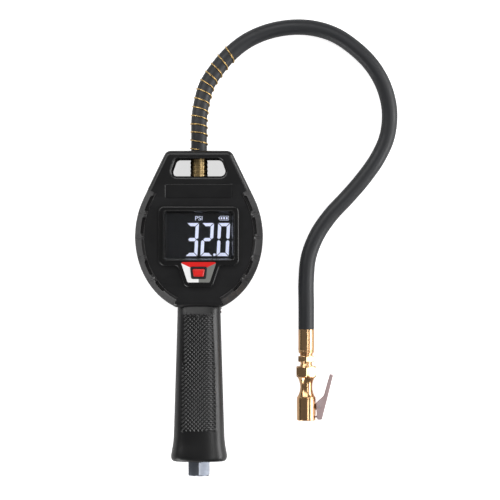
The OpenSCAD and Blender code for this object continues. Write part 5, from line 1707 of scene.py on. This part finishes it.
class INFLATOR_OT_inlet(bpy.types.Operator):
    """Hexagonal air inlet with a threaded bore"""
    bl_idname = "inflator.inlet"
    bl_label = "Air Inlet"

    THREAD_PITCH = 1.34
    THREAD_TURNS = 7

    def execute(self, context):
        tone = rgb(context.scene.inflator_fittings.inlet_colour)
        alloy = metal("inlet_alloy", tone, dim(tone, 0.75), (0.26, 0.4), grain=700.0, blotch=120.0,
                      depth=0.006, rubbed=0.3, rubbed_colour=(0.8, 0.82, 0.85))
        flats = 2 * span("inlet_adapter")[1].x
        corner = flats / 2 / math.cos(math.pi / 6)
        thread_r, root_r = 5.72, 6.25
        outer = [(Y_END, thread_r + 0.9), (Y_END, flats / 2 - 0.1), (Y_END + 0.9, corner, flats),
                 (Y_HEEL - 1.0, corner, flats), (Y_HEEL - 0.05, flats / 2 - 0.05), (Y_HEEL - 0.05, 7.3),
                 (Y_HEEL + 19, 7.3), (Y_HEEL + 19, 6.5), (Y_HEEL + 29, 6.5), (Y_HEEL + 29, 4.0),
                 (Y_END + 12.5, 4.0), (Y_END + 12, thread_r)]
        for k in range(self.THREAD_TURNS, 0, -1):
            y = Y_END + 1.2 + self.THREAD_PITCH * k
            outer += [(y, thread_r), (y - 0.35, root_r), (y - 0.7, root_r), (y - 1.05, thread_r)]
        inlet = turned("inlet_adapter_turned", alloy, along_y(0.0, AIR_Z), outer)
        seat(soften(inlet), "inflator", "inlet_alloy", "inlet_adapter")
        return {"FINISHED"}


# ---------- hose fittings and chuck ----------

def chuck_place(u, v, along):
    """The chuck hangs along -Y from the hose's far end."""
    return CHUCK_AT[0] + u, CHUCK_AT[1] - along, CHUCK_AT[2] + v


def chuck_flat(u, along, v):
    """The same place, for outlines drawn along the chuck."""
    return chuck_place(u, v, along)


def brass(name, tone, rough):
    return metal(name, tone, dim(tone, 0.8), rough, "turned", grain=1400.0, blotch=90.0,
                 depth=0.005, rubbed=0.35, rubbed_colour=(1.0, 0.86, 0.6))


class INFLATOR_OT_fittings(bpy.types.Operator):
    """Crimped ferrules at both ends of the hose and the hexagonal adapter"""
    bl_idname = "inflator.fittings"
    bl_label = "Hose Fittings"

    def execute(self, context):
        values = context.scene.inflator_fittings
        dark = brass("ferrule_brass", rgb(values.ferrule_colour), (0.24, 0.38))
        low, high = span("hose_ferrule_gauge")
        radius = high.x
        start = CAVITY_TOP_Y
        shape = [(low.y, 5.6), (low.y + 0.5, 6.4), (start - 6.2, 6.4), (start - 6.2, 8.0, 14.0),
                 (start, 8.0, 14.0), (start, radius - 0.4), (start + 0.4, radius)]
        for at in (start + 9.4, start + 12.6, start + 15.8, start + 19.0):
            shape += [(at - 0.9, radius), (at - 0.5, radius - 0.28), (at + 0.5, radius - 0.28),
                      (at + 0.9, radius)]
        shape += [(high.y - 0.4, radius), (high.y, radius - 0.4), (high.y, 2.6), (low.y, 2.6)]
        gauge_end = turned("gauge_ferrule_turned", dark, along_y(0.0, AIR_Z), shape)
        seat(soften(gauge_end), "inflator", "ferrule_brass", "hose_ferrule_gauge")

        gold = brass("chuck_brass", rgb(values.brass_colour), (0.16, 0.3))
        outer = context.scene.inflator_hose.hose_diameter / 2 / MM + 0.1
        end = 19.5
        ferrule = turned("chuck_ferrule_turned", gold, chuck_place, [
            (0, outer - 0.35), (0.35, outer), (end - 2.2, outer), (end - 1.9, outer - 0.25),
            (end - 1.5, outer - 0.25), (end - 1.2, outer - 0.05), (end - 0.5, outer - 0.1),
            (end, outer - 0.7), (end, 2.6), (6, 2.6), (6, 2.5), (0, 2.5)])
        seat(soften(ferrule), "inflator", "chuck_brass", "hose_ferrule_chuck")

        flats = 13.0
        corner = flats / 2 / math.cos(math.pi / 6)
        adapter = turned("hose_adapter_turned", gold, chuck_place, [
            (end, 5.4), (end + 0.9, 5.4), (end + 1.3, 5.0), (21.8, 5.0), (21.8, flats / 2 - 0.1),
            (22.3, corner, flats), (26.1, corner, flats), (26.6, flats / 2 - 0.1), (26.6, 4.9),
            (28.0, 4.6), (29.4, 5.1), (30.2, 5.3), (30.2, 4.0), (36.2, 4.0), (36.2, 2.5), (end, 2.5)])
        seat(soften(adapter), "inflator", "chuck_brass", "hose_adapter")
        return {"FINISHED"}


class INFLATOR_OT_chuck(bpy.types.Operator):
    """Chuck body with its hexagon, waist, socket and hinge lug"""
    bl_idname = "inflator.chuck"
    bl_label = "Chuck Body"

    HEX_AT = 30.2
    HEX_LEN = 9.0
    BODY_AT = 54.8
    END_AT = 74.4
    BODY_R = 7.7
    WAIST_R = 4.9
    SOCKET_R = 4.2
    PIVOT = (10.4, 63.1)
    LUG_HALF = 1.48

    def execute(self, context):
        values = context.scene.inflator_fittings
        gold = brass("chuck_body_brass", rgb(values.brass_colour), (0.14, 0.28))
        flats = 16.0
        corner = flats / 2 / math.cos(math.pi / 6)
        end, collar, top = self.END_AT, self.BODY_AT, self.HEX_AT
        full, mouth = self.BODY_R, self.SOCKET_R
        start = top + self.HEX_LEN
        shape = [(top, flats / 2 - 0.6), (top + 0.1, flats / 2 - 0.1),
                 (top + 1.0, corner, flats), (start - 2.2, corner, flats),
                 (start - 0.5, flats / 2 + 0.1, flats), (start, full - 0.5)]
        low_r = full - 0.6
        for t in np.linspace(0, 1, 26)[1:]:
            radius = self.WAIST_R + (low_r - self.WAIST_R) * abs(2 * t - 1) ** 2.1
            shape.append((start + (collar - start) * t, radius))
        shape += [(collar + 0.2, full - 0.5), (collar + 0.6, full),
                  (collar + 1.1, full), (collar + 1.3, full - 0.18),
                  (collar + 1.7, full - 0.18), (collar + 1.9, full),
                  (end - 0.7, full), (end - 0.3, full - 0.15),
                  (end, full - 0.6), (end, mouth + 0.5),
                  (end - 0.5, mouth), (end - 9, mouth),
                  (end - 9, 5.1), (end - 12, 5.1), (end - 12, 2.5), (top + 7, 2.5),
                  (top + 7, 4.05), (top, 4.05)]
        body = turned("chuck_body_turned", gold, chuck_place, shape)
        cut(body, self.claw_slot())
        smooth(body.data, 30.0)
        seat(soften(body), "inflator", "chuck_brass", "chuck_body")
        self.lug(gold)
        return {"FINISHED"}

    def claw_slot(self):
        skin = Skin()
        mouth = ((2.6, -2.5), (22.0, -2.5), (22.0, 2.5), (2.6, 2.5))
        skin.plate(chuck_place, mouth, self.END_AT - 4.4, self.END_AT - 1.2)
        return skin.build("slot_tool", [])

    def lug(self, gold):
        """The hinge lug on the side of the body, round the clip's pin."""
        px, pz = self.PIVOT
        outline = rounded([(self.BODY_R - 1.2, pz - 2.4, 0.2), (px + 1.3, pz - 2.4, 1.3), (px + 1.9, pz, 1.2),
                           (px + 1.3, pz + 2.4, 1.3), (self.BODY_R - 1.2, pz + 2.4, 0.2)], 5)
        skin = Skin()
        skin.plate(chuck_flat, outline, -self.LUG_HALF, self.LUG_HALF, circle(px, pz, 1.03, 28))
        lug = skin.build("chuck_hinge_lug", [gold])
        seat(soften(lug, 0.15, 2, 50.0), "inflator", "chuck_brass")


class INFLATOR_OT_clip(bpy.types.Operator):
    """Folded sheet-metal clip lever with two cheeks, a thumb arm and a claw, and its pin"""
    bl_idname = "inflator.clip"
    bl_label = "Clip Lever"

    CHEEK_IN = 3.2
    CHEEK_OUT = 4.2
    CLAW_HALF = 2.15

    def execute(self, context):
        tone = rgb(context.scene.inflator_fittings.clip_colour)
        nickel = metal("clip_nickel", tone, dim(tone, 0.8), (0.34, 0.5), blotch=110.0, depth=0.006,
                       rubbed=0.3, rubbed_colour=(0.9, 0.86, 0.86))
        px, pz = INFLATOR_OT_chuck.PIVOT
        end = INFLATOR_OT_chuck.END_AT
        cheek = rounded([(px - 2.4, pz - 2.8, 0.8), (px + 3.9, pz - 8.6, 2.0), (px + 8.9, pz - 26.35, 0.8),
                         (px + 11.4, pz - 25.95, 0.6), (px + 2.2, end - 0.85, 0.8),
                         (px - 1.6, end - 0.85, 0.8)], 6)
        hole = circle(px, pz, 1.06, 28)
        plates = [(cheek, self.CHEEK_IN, self.CHEEK_OUT, hole),
                  (cheek, -self.CHEEK_OUT, -self.CHEEK_IN, hole)]
        arm = rounded([(px + 5.05, pz - 4.4, 0.2), (px + 10.5, pz - 25.9, 0.3), (px + 11.35, pz - 25.85, 0.3),
                       (px + 5.75, pz - 3.3, 0.2)], 4)
        across = self.CHEEK_OUT - 0.02
        fold = rounded([(px + 0.4, end - 3.9, 0.25), (px + 1.85, end - 3.9, 0.4), (px + 1.85, end - 1.5, 0.4),
                        (px + 0.4, end - 1.5, 0.25)], 4)
        claw = rounded([(4.4, end - 3.75, 0.25), (px + 1.4, end - 3.95, 0.25), (px + 1.4, end - 2.3, 0.25),
                        (4.4, end - 2.65, 0.25)], 4)
        plates += [(arm, -across, across), (fold, -across, across), (claw, -self.CLAW_HALF, self.CLAW_HALF)]
        skin = Skin()
        for plate in plates:
            skin.plate(chuck_flat, *plate)
        lever = skin.build("chuck_lever_folded", [nickel])
        seat(soften(lever, 0.18, 2, 50.0), "clip", "clip_nickel", "chuck_lever")

        steel = metal("clip_pin_steel", (0.7, 0.7, 0.72), (0.55, 0.55, 0.57), (0.2, 0.34), "turned")
        low, high = span("chuck_pin")
        upright = lambda u, v, z: (CHUCK_AT[0] + px + u, CHUCK_AT[1] - pz + v, z)
        pin = turned("chuck_pin_turned", steel, upright, [
            (low.z, 0.75), (low.z + 0.25, 0.98), (high.z - 0.25, 0.98), (high.z, 0.75)], 32, False, 35.0)
        seat(soften(pin), "inflator", "steel", "chuck_pin")
        return {"FINISHED"}


# ---------- CAD nodes that show as they are ----------

class INFLATOR_OT_inner_finishes(bpy.types.Operator):
    """Finishes for the inner pieces that keep their CAD shape"""
    bl_idname = "inflator.inner_finishes"
    bl_label = "Inner Finishes"

    def execute(self, context):
        steel = dict(pattern="scratched", grain=800.0, depth=0.004, Metallic=1.0)
        turned = dict(pattern="turned", grain=1000.0, depth=0.004, Metallic=1.0)
        table = {
            "lcd_dark": (("lcd_module",), (0.0025, 0.003, 0.005), (0.004, 0.005, 0.008), (0.4, 0.5),
                         dict(depth=0.002)),
            "backlight_white": (("backlight",), (0.62, 0.64, 0.7), (0.7, 0.72, 0.76), (0.4, 0.5), {}),
            "board_green": (("circuit_board",), (0.01, 0.09, 0.03), (0.015, 0.13, 0.045), (0.3, 0.42), {}),
            "bright_steel": (("board_screws", "dome_switch", "battery_contacts", "pressure_sensor",
                              "chuck_lever_spring"),
                             (0.6, 0.6, 0.62), (0.45, 0.45, 0.47), (0.22, 0.38), steel),
            "cell_jacket": (("batteries",), (0.42, 0.17, 0.03), (0.5, 0.22, 0.05), (0.25, 0.35), {}),
            "filter_bronze": (("inlet_filter",), (0.42, 0.35, 0.22), (0.3, 0.24, 0.14), (0.5, 0.7),
                              dict(grain=3500.0, depth=0.08, Metallic=1.0)),
            "ring_rubber": (("inlet_seal", "stem_seal", "chuck_seal"), (0.008, 0.008, 0.008),
                            (0.015, 0.015, 0.015), (0.4, 0.6), dict(depth=0.01)),
            "valve_alloy": (("valve_body",), (0.5, 0.51, 0.54), (0.38, 0.39, 0.41), (0.3, 0.45), turned),
            "valve_brass": (("valve_stem", "valve_cap", "chuck_core_pin", "air_tube", "outlet_block"),
                            (0.72, 0.47, 0.17), (0.55, 0.34, 0.11), (0.2, 0.36), turned),
            "lead_red": (("sensor_lead",), (0.3, 0.04, 0.03), (0.22, 0.03, 0.02), (0.35, 0.5), {}),
        }
        for name, (nodes, tone, shade, rough, extra) in table.items():
            material = finish(name, tone, shade, rough, **extra)
            for node in nodes:
                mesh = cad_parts[node].data
                mesh.materials.clear()
                mesh.materials.append(material)
        return {"FINISHED"}


# ---------- add-on ----------

OPERATORS = (INFLATOR_OT_stage, INFLATOR_OT_hose, INFLATOR_OT_head, INFLATOR_OT_boot, INFLATOR_OT_display,
             INFLATOR_OT_button, INFLATOR_OT_battery_cover, INFLATOR_OT_screws, INFLATOR_OT_handle,
             INFLATOR_OT_grip, INFLATOR_OT_trigger, INFLATOR_OT_valve_spring, INFLATOR_OT_inlet,
             INFLATOR_OT_fittings, INFLATOR_OT_chuck, INFLATOR_OT_clip, INFLATOR_OT_inner_finishes)


class INFLATOR_PT_panel(bpy.types.Panel):
    """Lists the inflator's settings and the steps that build it"""
    bl_idname = "INFLATOR_PT_panel"
    bl_label = "Tyre Inflator"
    bl_space_type = "VIEW_3D"
    bl_region_type = "UI"
    bl_category = "Inflator"

    def draw(self, context):
        for name, group in SETTINGS.items():
            box = self.layout.box()
            box.label(text=name.replace("inflator_", "").title())
            for label in group.__annotations__:
                box.prop(getattr(context.scene, name), label)
        for operator in OPERATORS:
            self.layout.operator(operator.bl_idname)


def register():
    for name, group in SETTINGS.items():
        bpy.utils.register_class(group)
        setattr(bpy.types.Scene, name, bpy.props.PointerProperty(type=group))
    for cls in (*OPERATORS, INFLATOR_PT_panel):
        bpy.utils.register_class(cls)


def unregister():
    for cls in reversed((*OPERATORS, INFLATOR_PT_panel)):
        bpy.utils.unregister_class(cls)
    for name, group in reversed(SETTINGS.items()):
        delattr(bpy.types.Scene, name)
        bpy.utils.unregister_class(group)


def main():
    register()
    for operator in OPERATORS:
        getattr(bpy.ops.inflator, operator.bl_idname.split(".")[1])()


if __name__ == "__main__":
    main()
